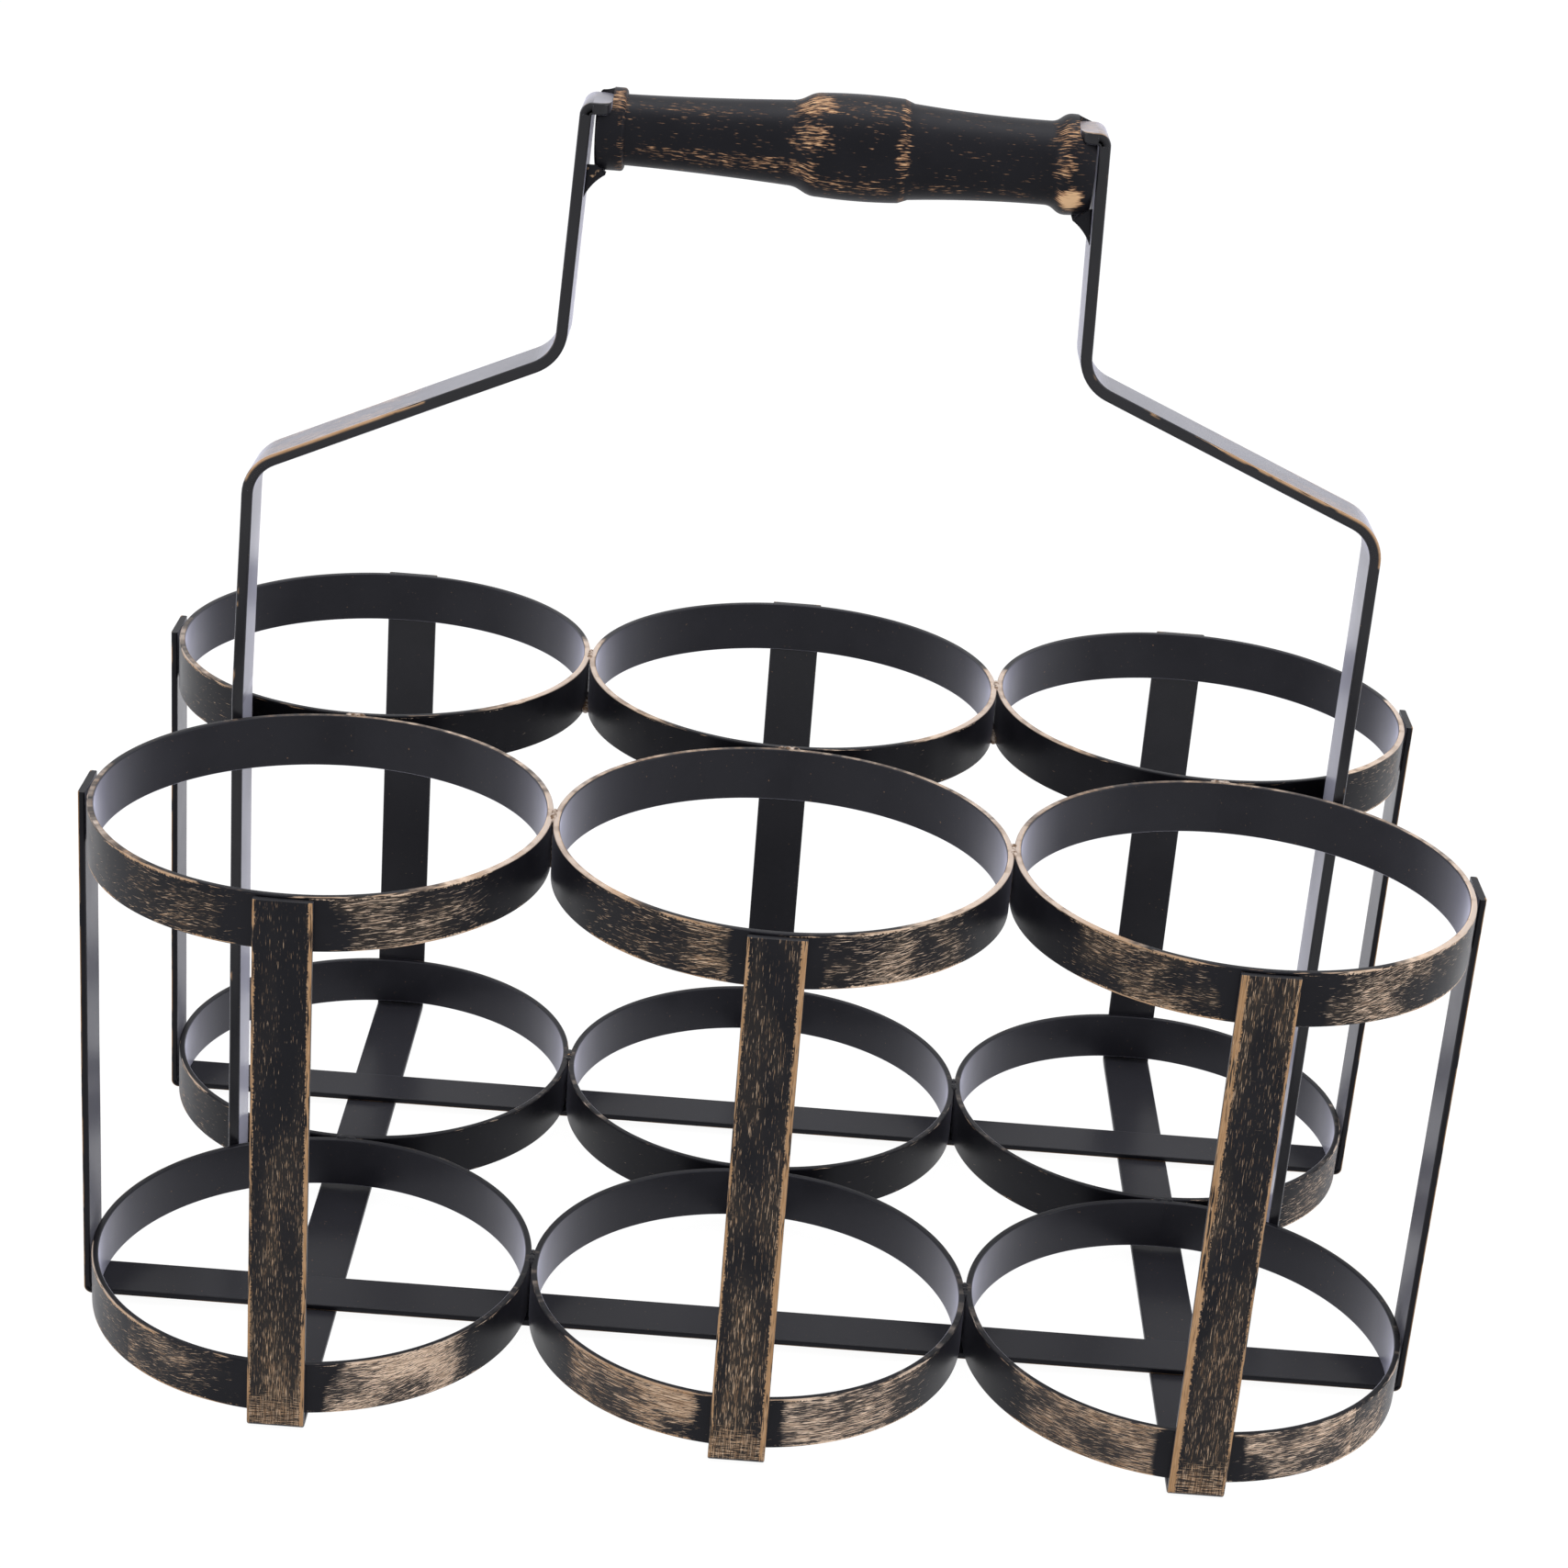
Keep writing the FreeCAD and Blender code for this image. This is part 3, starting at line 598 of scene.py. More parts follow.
def antiqued_steel(name, brushing, lacquer=LACQUER, haze_and_sheen=HAZE):
    material, bench, shader = new_finish(name, lacquer)
    bar = bar_fields(bench)
    brush = brushing(bench, bar)
    gold, lined, on_rim = gold_cover(bench, bar, brush)
    black, gloss = satin_black(bench, bar.spot)
    # Under the streaks a haze dulls the black. On the lower rings its colour is partly a painted reflection
    # of the floor.
    haze_and_sheen_share = bench.product(bench.ramp(bar.face, *FLAT_ONLY), bench.ramp(brush.streaks, *HAZE_AND_SHEEN_RAMP))
    black = bench.mix(haze_and_sheen_share, black, haze_and_sheen)
    gloss = bench.add_share(haze_and_sheen_share, HAZE_ROUGHNESS, gloss)
    if brush.matt is not None:
        gloss = bench.add_share(brush.matt, MATT_ROUGHNESS, gloss)
    paint = gold_paint(bench, bar, brush, lined, on_rim)
    lay_gold(bench, shader, bar.spot, gold, paint, black, gloss)
    print("material:", name, "with", len(material.node_tree.nodes), "nodes")
    return material


def satin_inside(name, lacquer, foot_roughness=0.0):
    """Black that no brush reached, a little lighter as a painted sheen, with a rare pale speck."""
    material, bench, shader = new_finish(name, lacquer)
    spot = bench.add("ShaderNodeTexCoord").outputs["Object"]
    # The lighter black here is a painted sheen on the faces inside the basket.
    black, gloss = satin_black(bench, spot, INSIDE_PAINTED_SHEEN, INSIDE_WORN_PAINTED_SHEEN)
    gloss = bench.plus(gloss, bench.ramp(bench.parts(spot)[2], *INSIDE_HEIGHTS, foot_roughness, 0))
    specks = caught(bench, bench.noise(spot, scale=1 / SPECK, detail=1), SPECK_AMOUNT)
    lay_gold(bench, shader, spot, specks, GOLD_DARK, black, gloss)
    return material


INSIDE_STEEL = satin_inside("satin_black_inside", INSIDE_LACQUER)
STRAP_INSIDE = satin_inside("satin_black_strap_inside", STRAP_INSIDE_LACQUER, STRAP_FOOT_ROUGHNESS)
ARM_INSIDE = satin_inside("satin_black_arm_inside", ARM_INSIDE_LACQUER)
RING_STEEL = {}
for level in LEVELS:
    brushing = partial(ring_brushing, **RING_GOLD[level])
    RING_STEEL[level] = antiqued_steel(f"antiqued_{level}_rings", brushing, haze_and_sheen=RING_HAZE_AND_SHEEN[level])
STRAP_STEEL = antiqued_steel("antiqued_straps", strap_brushing)
ARM_STEEL = antiqued_steel("antiqued_arms", arm_brushing, ARM_LACQUER)

# %% [markdown]
# ## Flat bar, swept along a path
# Rings, straps and arms are all one thing: flat bar that follows a path. A bar could be
# extruded by hand for each, but a Geometry Nodes group does it once. It turns the
# path's normals to the outer face, sweeps a rectangle with rounded corners along it,
# and stores where each point is, for the finish. The path runs along the outer face,
# because that is the face whose place the model gives.

# %% The flat bar group
SOCKETS = {"geometry": "NodeSocketGeometry", "length": "NodeSocketFloat", "vector": "NodeSocketVector",
           "material": "NodeSocketMaterial"}
CORNER_STEPS = 4
WAVE_LENGTH = 45 * MM
WAVE_STEP = 3.7
WAVE_GAIN = 4.0


def new_tree(name, **inputs):
    """A Geometry Nodes tree with these named inputs, and a bench to build it on."""
    tree = bpy.data.node_groups.new(name, "GeometryNodeTree")
    for label, kind in inputs.items():
        tree.interface.new_socket(label, in_out="INPUT", socket_type=SOCKETS[kind])
    tree.interface.new_socket("Mesh", in_out="OUTPUT", socket_type=SOCKETS["geometry"])
    bench = NodeBench(tree)
    bench.start = bench.add("NodeGroupInput").outputs
    bench.end = bench.add("NodeGroupOutput").inputs
    return bench


def keep_value(bench, geometry, name, kind, value):
    """Captures a field on a geometry, and returns the geometry and the kept field."""
    node = bench.add("GeometryNodeCaptureAttribute", {"Geometry": geometry})
    node.capture_items.new(kind, name)
    bench.feed(node.inputs[name], value)
    return node.outputs["Geometry"], node.outputs[name]


def shifted(bench, geometry, offset):
    return bench.make("GeometryNodeSetPosition", {"Geometry": geometry, "Offset": offset})


def rounded(bench, curve, radius, steps):
    feeds = {"Curve": curve, "Radius": radius, "Count": steps}
    return bench.make("GeometryNodeFilletCurve", feeds, mode="POLY")


def bar_section(bench, width, thickness, radius):
    """Rounded rectangle with its outer face on the path, and the kept place in it."""
    plate = bench.make("GeometryNodeCurvePrimitiveQuadrilateral", {"Width": thickness, "Height": width})
    section = rounded(bench, plate, radius, CORNER_STEPS)
    spot = bench.make("GeometryNodeInputPosition")
    section, kept = keep_value(bench, section, "Section", "VECTOR", spot)
    return shifted(bench, section, bench.xyz(bench.product(thickness, -0.5), 0, 0)), kept


def round_tip(bench, mesh, across, left):
    """Draws the bar's free end in, beside an arc whose radius is Tip."""
    tip = bench.start["Tip"]
    past = bench.most(bench.minus(tip, left), 0)
    arc = bench.math("SQRT", bench.minus(bench.product(tip, tip), bench.product(past, past)))
    lost = bench.minus(tip, arc)
    pull = bench.math("DIVIDE", bench.product(across, lost, -2), bench.start["Width"])
    return shifted(bench, mesh, bench.stretch(bench.start["Across"], pull))


def flat_bar_group():
    bench = new_tree("flat_bar", Path="geometry", Across="vector", Width="length", Thickness="length",
                     Corner="length", Tip="length", Waviness="length", Number="length")
    given = bench.start
    outward = bench.cross(bench.make("GeometryNodeInputTangent"), given["Across"])
    path = bench.make("GeometryNodeSetCurveNormal", {"Curve": given["Path"], "Normal": outward}, mode="FREE")
    along = bench.add("GeometryNodeSplineParameter").outputs["Length"]
    total = bench.add("GeometryNodeSplineLength").outputs["Length"]
    path, along = keep_value(bench, path, "Along", "FLOAT", along)
    path, left = keep_value(bench, path, "Left", "FLOAT", bench.minus(total, along))
    path, facing = keep_value(bench, path, "Facing", "VECTOR", outward)
    layer = bench.product(given["Number"], WAVE_STEP)
    wave = bench.noise(bench.xyz(bench.per(along, WAVE_LENGTH), layer, 0))
    shift = bench.product(bench.minus(wave, MIDDLE_GREY), WAVE_GAIN, given["Waviness"])
    path = shifted(bench, path, bench.stretch(facing, shift))
    section, spot = bar_section(bench, given["Width"], given["Thickness"], given["Corner"])
    feeds = {"Curve": path, "Profile Curve": section, "Scale": 1.0, "Fill Caps": True}
    mesh = bench.make("GeometryNodeCurveToMesh", feeds)
    depth, sideways, _ = bench.parts(spot)
    across = bench.product(sideways, -1)
    mesh = round_tip(bench, mesh, across, left)
    face = bench.math("DIVIDE", bench.product(depth, 2), given["Thickness"])
    half_width = bench.product(given["Width"], 0.5)
    for name, value in (("bar_place", bench.xyz(along, across, given["Number"])),
                        ("bar_side", bench.xyz(face, half_width, 0))):
        feeds = {"Geometry": mesh, "Name": name, "Value": value}
        mesh = bench.make("GeometryNodeStoreNamedAttribute", feeds, data_type="FLOAT_VECTOR")
    bench.feed(bench.end["Mesh"], bench.make("GeometryNodeSetShadeSmooth", {"Geometry": mesh}))
    return bench.tree


FLAT_BAR = flat_bar_group()
print("flat bar group:", len(FLAT_BAR.nodes), "nodes")

# %% [markdown]
# Two trees use the group. One rolls a ring from an arc and leaves the narrow seam where
# the bar's ends butt. The other bends bar along a curve object: each corner of
# that curve is a bend, and the point's radius is the bend's radius.

# %% Trees for a rolled ring and a bent bar
RING_STEPS = 256
BEND_STEPS = 10
STRAIGHT_CUTS = 12
CRISP_ANGLE = math.radians(60)
INNER_FACE = -0.7
BAR_INPUTS = ("Across", "Width", "Thickness", "Corner", "Tip", "Waviness", "Number")
BAR_KINDS = {name: "vector" if name == "Across" else "length" for name in BAR_INPUTS}


def paint_mesh(bench, mesh, material, selection=True):
    feeds = {"Geometry": mesh, "Selection": selection, "Material": material}
    return bench.make("GeometryNodeSetMaterial", feeds)


def finish_bar(bench, path, crisp_ends=False):
    """Sweeps the bar along the path, paints it outside and inside, and ends the tree."""
    bar = bench.add("GeometryNodeGroup", node_tree=FLAT_BAR)
    bench.feed(bar.inputs["Path"], path)
    for name in BAR_INPUTS:
        bench.feed(bar.inputs[name], bench.start[name])
    mesh = bar.outputs["Mesh"]
    if crisp_ends:
        crisp = bench.math("GREATER_THAN", bench.make("GeometryNodeInputMeshEdgeAngle"), CRISP_ANGLE)
        feeds = {"Geometry": mesh, "Selection": crisp, "Shade Smooth": False}
        mesh = bench.make("GeometryNodeSetShadeSmooth", feeds, domain="EDGE")
    mesh = bench.make("GeometryNodeRealizeInstances", {"Geometry": mesh})
    mesh = paint_mesh(bench, mesh, bench.start["Material"])
    side = bench.add("GeometryNodeInputNamedAttribute", {"Name": "bar_side"}, data_type="FLOAT_VECTOR")
    inner = bench.math("LESS_THAN", bench.parts(side.outputs["Attribute"])[0], INNER_FACE)
    height = bench.parts(bench.make("GeometryNodeInputPosition"))[2]
    below_leg = bench.math("LESS_THAN", height, LEG_FOOT)
    mesh = paint_mesh(bench, mesh, bench.start["Inside"], bench.product(inner, below_leg))
    bench.feed(bench.end["Mesh"], mesh)
    return bench.tree


def rolled_ring_tree():
    bench = new_tree("rolled_ring", Radius="length", Seam="length", Turn="length", Place="vector",
                     Material="material", Inside="material", **BAR_KINDS)
    given = bench.start
    gap = bench.math("DIVIDE", given["Seam"], given["Radius"])
    first = bench.plus(given["Turn"], bench.product(gap, 0.5))
    feeds = {"Resolution": RING_STEPS, "Radius": given["Radius"], "Start Angle": first,
             "Sweep Angle": bench.minus(math.tau, gap)}
    arc = bench.make("GeometryNodeCurveArc", feeds, mode="RADIUS")
    return finish_bar(bench, shifted(bench, arc, given["Place"]), crisp_ends=True)


def bent_bar_tree():
    bench = new_tree("bent_bar", Path="geometry", Material="material", Inside="material", **BAR_KINDS)
    bent = rounded(bench, bench.start["Path"], bench.make("GeometryNodeInputRadius"), BEND_STEPS)
    path = bench.make("GeometryNodeSubdivideCurve", {"Curve": bent, "Cuts": STRAIGHT_CUTS})
    return finish_bar(bench, path)


ROLLED_RING = rolled_ring_tree()
BENT_BAR = bent_bar_tree()
print("trees:", ROLLED_RING.name, BENT_BAR.name)

# %% [markdown]
# A tree runs as a modifier, and its result is copied into a plain mesh, because only
# plain meshes are kept. Weighted normals keep the flat faces flat in the light. A bar
# that was bent along a curve also gets a small bevel, which takes the sharp edge off
# its sawn ends. Both work on a mesh, so that bar is copied out of its curve first.

# %% Run a tree and keep its mesh
BODY = "root"
STEEL_SLOT = "antiqued_black_steel"
WOOD_SLOT = "blackened_wood"
END_BEVEL = 0.3 * MM
END_ANGLE = 60


def link(name, data):
    """A new object at the origin, in the scene."""
    thing = bpy.data.objects.new(name, data)
    bpy.context.scene.collection.objects.link(thing)
    return thing


def run_tree(maker, tree, **values):
    """Puts a tree on an object and sets its inputs by their identifiers."""
    modifier = maker.modifiers.new(tree.name, "NODES")
    modifier.node_group = tree
    for item in tree.interface.items_tree:
        if item.in_out == "INPUT" and item.name in values:
            modifier[item.identifier] = values[item.name]


def ease_edges(maker, width, steps, degrees):
    """Bevels the edges that turn by more than this angle."""
    bevel = maker.modifiers.new("eased_edges", "BEVEL")
    bevel.width = width
    bevel.segments = steps
    bevel.angle_limit = math.radians(degrees)


def even_flats(maker):
    """Evens the shading of the flats."""
    evened = maker.modifiers.new("flat_faces", "WEIGHTED_NORMAL")
    evened.keep_sharp = True


def keep_mesh(maker, name):
    """Copies what the modifiers made into a plain mesh object, and drops the maker."""
    graph = bpy.context.evaluated_depsgraph_get()
    made = maker.evaluated_get(graph)
    mesh = bpy.data.meshes.new_from_object(made, preserve_all_data_layers=True, depsgraph=graph)
    bpy.data.objects.remove(maker)
    mesh.name = name
    return link(name, mesh)


def keep_bent_bar(maker, name):
    """Copies a bar out of its curve, bevels its sawn ends and evens its flats."""
    bar = keep_mesh(maker, "swept_bar")
    ease_edges(bar, END_BEVEL, 3, END_ANGLE)
    even_flats(bar)
    return keep_mesh(bar, name)


def stand_in(piece, slot, *nodes):
    """The piece moves with the caddy and is shown in place of these nodes."""
    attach(piece, BODY)
    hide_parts(*nodes)
    return piece


print("body", BODY, "with slots", STEEL_SLOT, WOOD_SLOT)

# %% [markdown]
# ## Twelve rings
# Each ring is one strip rolled on edge. The seam of a front ring faces the rear row and
# the other way round, where the two rings are welded together and it is least seen.

# %% Roll the rings
BAR_STOCK = {"Width": BAR_WIDTH, "Thickness": BAR_THICKNESS, "Corner": 0.38 * MM}
RING_SEAM = 0.02 * MM
RING_WAVINESS = 0.03 * MM
UP = (0, 0, 1)
QUARTER = math.pi / 2
piece_number = 0


def roll_ring(level, row, column, number):
    node = f"{level}_ring_{row}_{column}"
    low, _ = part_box(node)
    middle = middle_of(node)
    maker = link("ring_maker", bpy.data.meshes.new("ring_maker"))
    run_tree(maker, ROLLED_RING, **BAR_STOCK, Across=UP, Radius=RING_RADIUS, Seam=RING_SEAM,
             Turn=QUARTER if row == "front" else -QUARTER, Waviness=RING_WAVINESS, Number=number,
             Place=(middle.x, middle.y, low.z + BAR_WIDTH / 2),
             Material=RING_STEEL[level], Inside=INSIDE_STEEL)
    even_flats(maker)
    return stand_in(keep_mesh(maker, node + "_band"), STEEL_SLOT, node)


for level in LEVELS:
    for row in ROWS:
        for column in COLUMNS:
            piece_number += 1
            ring = roll_ring(level, row, column, float(piece_number))
print("rings:", piece_number, "of", len(ring.data.polygons), "faces each")

# %% [markdown]
# ## Five straps
# A U strap is folded from one length of bar. Its path goes down one leg, under the
# basket and up the other leg, with a tight fold at each foot.

# %% Fold the straps
FOLD_INSIDE = 0.3 * MM
STRAP_WAVINESS = 0.05 * MM


def paths(name, *routes):
    """Curve object with one spline for each route, a list of corners and the radius at each."""
    curve = bpy.data.curves.new(name, "CURVE")
    curve.dimensions = "3D"
    for route in routes:
        spline = curve.splines.new("POLY")
        spline.points.add(len(route) - 1)
        for point, (corner, radius) in zip(spline.points, route):
            point.co = (*corner, 1)
            point.radius = radius
    return link(name, curve)


def fold_strap(node, across, number):
    low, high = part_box(node)
    middle = (low + high) / 2
    runs_along_y = across[0] == 1
    start, stop = (low.y, high.y) if runs_along_y else (high.x, low.x)
    fold = FOLD_INSIDE + BAR_THICKNESS
    route = []
    for end, z, bend in ((start, high.z, 0), (start, low.z, fold), (stop, low.z, fold), (stop, high.z, 0)):
        corner = (middle.x, end, z) if runs_along_y else (end, middle.y, z)
        route.append((corner, bend))
    maker = paths("strap_maker", route)
    run_tree(maker, BENT_BAR, **BAR_STOCK, Across=across, Waviness=STRAP_WAVINESS, Number=number,
             Material=STRAP_STEEL, Inside=STRAP_INSIDE)
    return stand_in(keep_bent_bar(maker, node + "_bar"), STEEL_SLOT, node)


for column in COLUMNS:
    piece_number += 1
    strap = fold_strap(f"column_strap_{column}", (1, 0, 0), float(piece_number))
for row in ROWS:
    piece_number += 1
    strap = fold_strap(f"row_strap_{row}", (0, 1, 0), float(piece_number))
print("straps of", len(strap.data.polygons), "faces")

# %% [markdown]
# ## Two handle arms
# An arm stands between the end rings of the two rows, bends in at the shoulder, turns
# up again beside the grip, and ends in a short tongue with a rounded tip, which
# lies in a notch in the grip's collar. The arms were bent by hand, so each has its own
# heights and slants, and the left one is drawn in a little above the rings.

# %% Bend the arms
ARM_THICKNESS = 2.5 * MM
ARM_CORNER = 0.5 * MM
ARM_WAVINESS = 0.06 * MM
ARM_BEND_INSIDE = 8.0 * MM
UPRIGHT_BEND = 60.0 * MM
UPRIGHT_BEND_HEIGHT = BASKET_TOP + 4.0 * MM
TONGUE_LENGTH = 6.2 * MM
TONGUE_BEND_INSIDE = 0.2 * MM
TONGUE_TIP = 2.5 * MM
# Height of the shoulder, and degrees of the slope, of the leg's lean and of the upright's lean.
ARM_SHAPES = {"left": (181.3 * MM, 24.3, 3.4, 2.0), "right": (185.7 * MM, 23.3, 1.5, 0.0)}


def arm_box(side):
    """Foot, top, half width, and the outermost and innermost places of an arm, from the middle."""
    low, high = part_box(f"handle_arm_{side}")
    inner, outer = sorted((abs(low.x), abs(high.x)))
    return SimpleNamespace(foot=low.z, top=high.z, half_width=high.y, inner=inner, outer=outer)


def arm_outline(arm, shoulder, *slants):
    """Corners of an arm's outer face from the foot to the tongue, as (x, z, bend)."""
    slope, leg_lean, upright_lean = (math.tan(math.radians(slant)) for slant in slants)
    shoulder_x = arm.outer - (shoulder - UPRIGHT_BEND_HEIGHT) * upright_lean
    leg_top = arm.inner + TONGUE_LENGTH
    leg_foot = (leg_top + leg_lean * (arm.top - shoulder - slope * shoulder_x)) / (1 - leg_lean * slope)
    foot_height = shoulder + (shoulder_x - leg_foot) * slope
    outline = [(arm.outer, arm.foot, 0)]
    if upright_lean:
        outline.append((arm.outer, UPRIGHT_BEND_HEIGHT, UPRIGHT_BEND + ARM_THICKNESS))
    outline += [(shoulder_x, shoulder, ARM_BEND_INSIDE + ARM_THICKNESS),
                (leg_foot, foot_height, ARM_BEND_INSIDE),
                (leg_top, arm.top, TONGUE_BEND_INSIDE + ARM_THICKNESS),
                (arm.inner, arm.top, 0)]
    return outline


def bend_arm(side, number):
    node = f"handle_arm_{side}"
    arm = arm_box(side)
    sign = SIDES[side]
    outline = arm_outline(arm, *ARM_SHAPES[side])
    maker = paths("arm_maker", [((sign * x, 0, z), bend) for x, z, bend in outline])
    run_tree(maker, BENT_BAR, Across=(0, -sign, 0), Width=2 * arm.half_width, Thickness=ARM_THICKNESS,
             Corner=ARM_CORNER, Tip=TONGUE_TIP, Waviness=ARM_WAVINESS, Number=number, Material=ARM_STEEL,
             Inside=ARM_INSIDE)
    return stand_in(keep_bent_bar(maker, node + "_bar"), STEEL_SLOT, node)


for side in SIDES:
    piece_number += 1
    arm = bend_arm(side, float(piece_number))
print("arms of", len(arm.data.polygons), "faces")

# %% [markdown]
# ## Welds
# Where two rings touch, the welder filled the notch behind the touch with a short run of
# molten steel, nearly flush with the rims. A bead could be one smooth lozenge, but a real
# one is a row of drops that ran together. So drops are set along each run, turned into
# one volume, and its skin becomes the mesh. The seed is fixed, so each run is the same.

# %% A tree for weld beads
DROP_SEED = 11
DROP_SMALLEST = 0.78
DROP_LARGEST = 1.12
DROP_STEP_SHARE = 0.4
BEAD_RIPPLE = 0.14 * MM
RIPPLE_LENGTH = 1.1 * MM


def weld_tree():
    bench = new_tree("weld_beads", Path="geometry", Radius="length", Grain="length", Material="material")
    radius, grain = bench.start["Radius"], bench.start["Grain"]
    step = bench.product(radius, DROP_STEP_SHARE)
    route = {"Curve": bench.start["Path"], "Length": step}
    drops = bench.make("GeometryNodeCurveToPoints", route, mode="LENGTH")
    share = bench.add("FunctionNodeRandomValue", {"Seed": DROP_SEED}, data_type="FLOAT")
    share.inputs[2].default_value = DROP_SMALLEST
    share.inputs[3].default_value = DROP_LARGEST
    size = bench.product(radius, share.outputs[1], bench.make("GeometryNodeInputRadius"))
    fluid = bench.make("GeometryNodePointsToVolume", {"Points": drops, "Voxel Size": grain, "Radius": size},
                       resolution_mode="VOXEL_SIZE")
    skin = bench.make("GeometryNodeVolumeToMesh", {"Volume": fluid, "Voxel Size": grain},
                      resolution_mode="VOXEL_SIZE")
    waves = bench.noise(bench.make("GeometryNodeInputPosition"), scale=1 / RIPPLE_LENGTH, detail=1)
    ripple = bench.product(bench.minus(waves, MIDDLE_GREY), BEAD_RIPPLE)
    mesh = shifted(bench, skin, bench.stretch(bench.make("GeometryNodeInputNormal"), ripple))
    mesh = bench.make("GeometryNodeSetShadeSmooth", {"Geometry": mesh})
    mesh = bench.make("GeometryNodeRealizeInstances", {"Geometry": mesh})
    bench.feed(bench.end["Mesh"], paint_mesh(bench, mesh, bench.start["Material"]))
    return bench.tree


WELD_BEADS = weld_tree()
print("weld tree:", len(WELD_BEADS.nodes), "nodes")

# %% [markdown]
# Welds and braces have no length to brush along, so their finish reads only their place
# in the caddy: the same black, with crumbs of gold where the brush touched a high spot.

# %% Black steel without strokes
CRUMB_TONE = (0.35, 0.65)


def crumbed_steel(name, amount, crumb, colour=GOLD):
    material, bench, shader = new_finish(name)
    spot = bench.add("ShaderNodeTexCoord").outputs["Object"]
    black, gloss = satin_black(bench, spot)
    gold = caught(bench, bench.noise(spot, scale=1 / crumb), amount)
    tone = bench.noise(spot, scale=2 / crumb, detail=1)
    paint = bench.mix(bench.ramp(tone, *CRUMB_TONE), GOLD_DARK, colour)
    lay_gold(bench, shader, spot, gold, paint, black, gloss)
    print("material:", name)
    return material


RIM_WELD_STEEL = {
    "upper": crumbed_steel("crumbed_upper_welds", amount=1.7, crumb=2.2 * MM, colour=CREAM),
    "lower": crumbed_steel("crumbed_lower_welds", amount=0.3, crumb=1.3 * MM),
}
ARM_WELD_STEEL = crumbed_steel("crumbed_arm_welds", amount=0.3, crumb=1.0 * MM)
BRACE_STEEL = crumbed_steel("crumbed_braces", amount=0.3, crumb=1.2 * MM)

# %% [markdown]
# Each level of rings has a bead on the rims behind every touch, and thin upright runs in
# the cracks between the touching rings. In the upper rear row a second bead lies low in
# the notch instead. The arms' edges are joined to the end rings by upright beads. All
# the runs of one group are splines of one curve, so one tree makes them together.

# %% Run the welds
BEAD_RADIUS = 0.95 * MM
BEAD_PROUD = 0.2 * MM
BEAD_START = -0.6 * MM
BEAD_END = 4.2 * MM
ROW_BEAD_HALF = 1.6 * MM
UNDER_BEAD_REACH = 7.5 * MM
UNDER_BEAD_SHARE = 1.2
ARM_BEAD_RADIUS = 0.9 * MM
ARM_BEAD_INSET = 2.4 * MM
ARM_BEAD_OFFSET = 0.2 * ARM_BEAD_RADIUS
WELD_GRAIN = 0.16 * MM
CRACK_INSET = 0.8 * MM
CRACK_SHARE = 0.45
TOUCHES_X = (-PITCH / 2, PITCH / 2)


def weld_run(start, end, share=1.0):
    """Straight run of weld between two places, with its share of the full radius."""
    return [(start, share), (end, share)]


def lay_welds(node, runs, radius, material):
    maker = paths("weld_maker", *runs)
    run_tree(maker, WELD_BEADS, Radius=radius, Grain=WELD_GRAIN, Material=material)
    piece = stand_in(keep_mesh(maker, node + "_beads"), STEEL_SLOT, node)
    print(node, len(runs), "runs,", len(piece.data.polygons), "faces")


def ring_weld_runs(level):
    """Runs behind each touch of two rings, on the rims and, in the rear row high up, under them too."""
    low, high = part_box(f"{level}_ring_front_left")
    z = high.z + BEAD_PROUD - BEAD_RADIUS
    runs = []
    for x in TOUCHES_X:
        for y in (-ROW_Y, ROW_Y):
            runs.append(weld_run((x, y + BEAD_START, z), (x, y + BEAD_END, z)))
        if level == "upper":
            under = low.z + UNDER_BEAD_SHARE * BEAD_RADIUS
            runs.append(weld_run((x, ROW_Y - UNDER_BEAD_REACH, under), (x, ROW_Y + ROW_BEAD_HALF, under)))
    for x in (-PITCH, 0, PITCH):
        runs.append(weld_run((x - ROW_BEAD_HALF, 0, z), (x + ROW_BEAD_HALF, 0, z)))
    return runs


def crack_runs(level):
    """Thin upright runs that close the crack where two rings touch, but for the rear row high up."""
    low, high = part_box(f"{level}_ring_front_left")
    foot, top = low.z + CRACK_INSET, high.z - CRACK_INSET
    rows = (-ROW_Y,) if level == "upper" else (-ROW_Y, ROW_Y)
    return [weld_run((x, y, foot), (x, y, top), CRACK_SHARE) for x in TOUCHES_X for y in rows]


def arm_weld_runs():
    """Upright runs in the corners between the arms' edges and the end rings."""
    arm = arm_box("right")
    far_x = arm.outer - ARM_BEAD_RADIUS
    far_y = arm.half_width + ARM_BEAD_OFFSET
    runs = []
    for level in LEVELS:
        low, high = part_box(f"{level}_ring_front_left")
        foot, top = low.z + ARM_BEAD_INSET, high.z - ARM_BEAD_INSET
        for x in (-far_x, far_x):
            for y in (-far_y, far_y):
                runs.append(weld_run((x, y, foot), (x, y, top)))
    return runs


for level in LEVELS:
    runs = ring_weld_runs(level) + crack_runs(level)
    lay_welds(f"{level}_ring_welds", runs, BEAD_RADIUS, RIM_WELD_STEEL[level])
lay_welds("handle_arm_welds", arm_weld_runs(), ARM_BEAD_RADIUS, ARM_WELD_STEEL)

# %% [markdown]
# ## Two braces
# A small three-cornered brace is welded in under each end of the grip. The model's solid
# is already the right shape, so a copy of it is closed up and only its edges are eased.

# %% Ease the braces
MERGE_DISTANCE = 0.01 * MM
FLAT_ANGLE = math.radians(1)
BRACE_BEVEL = 0.35 * MM
BRACE_ANGLE = 35


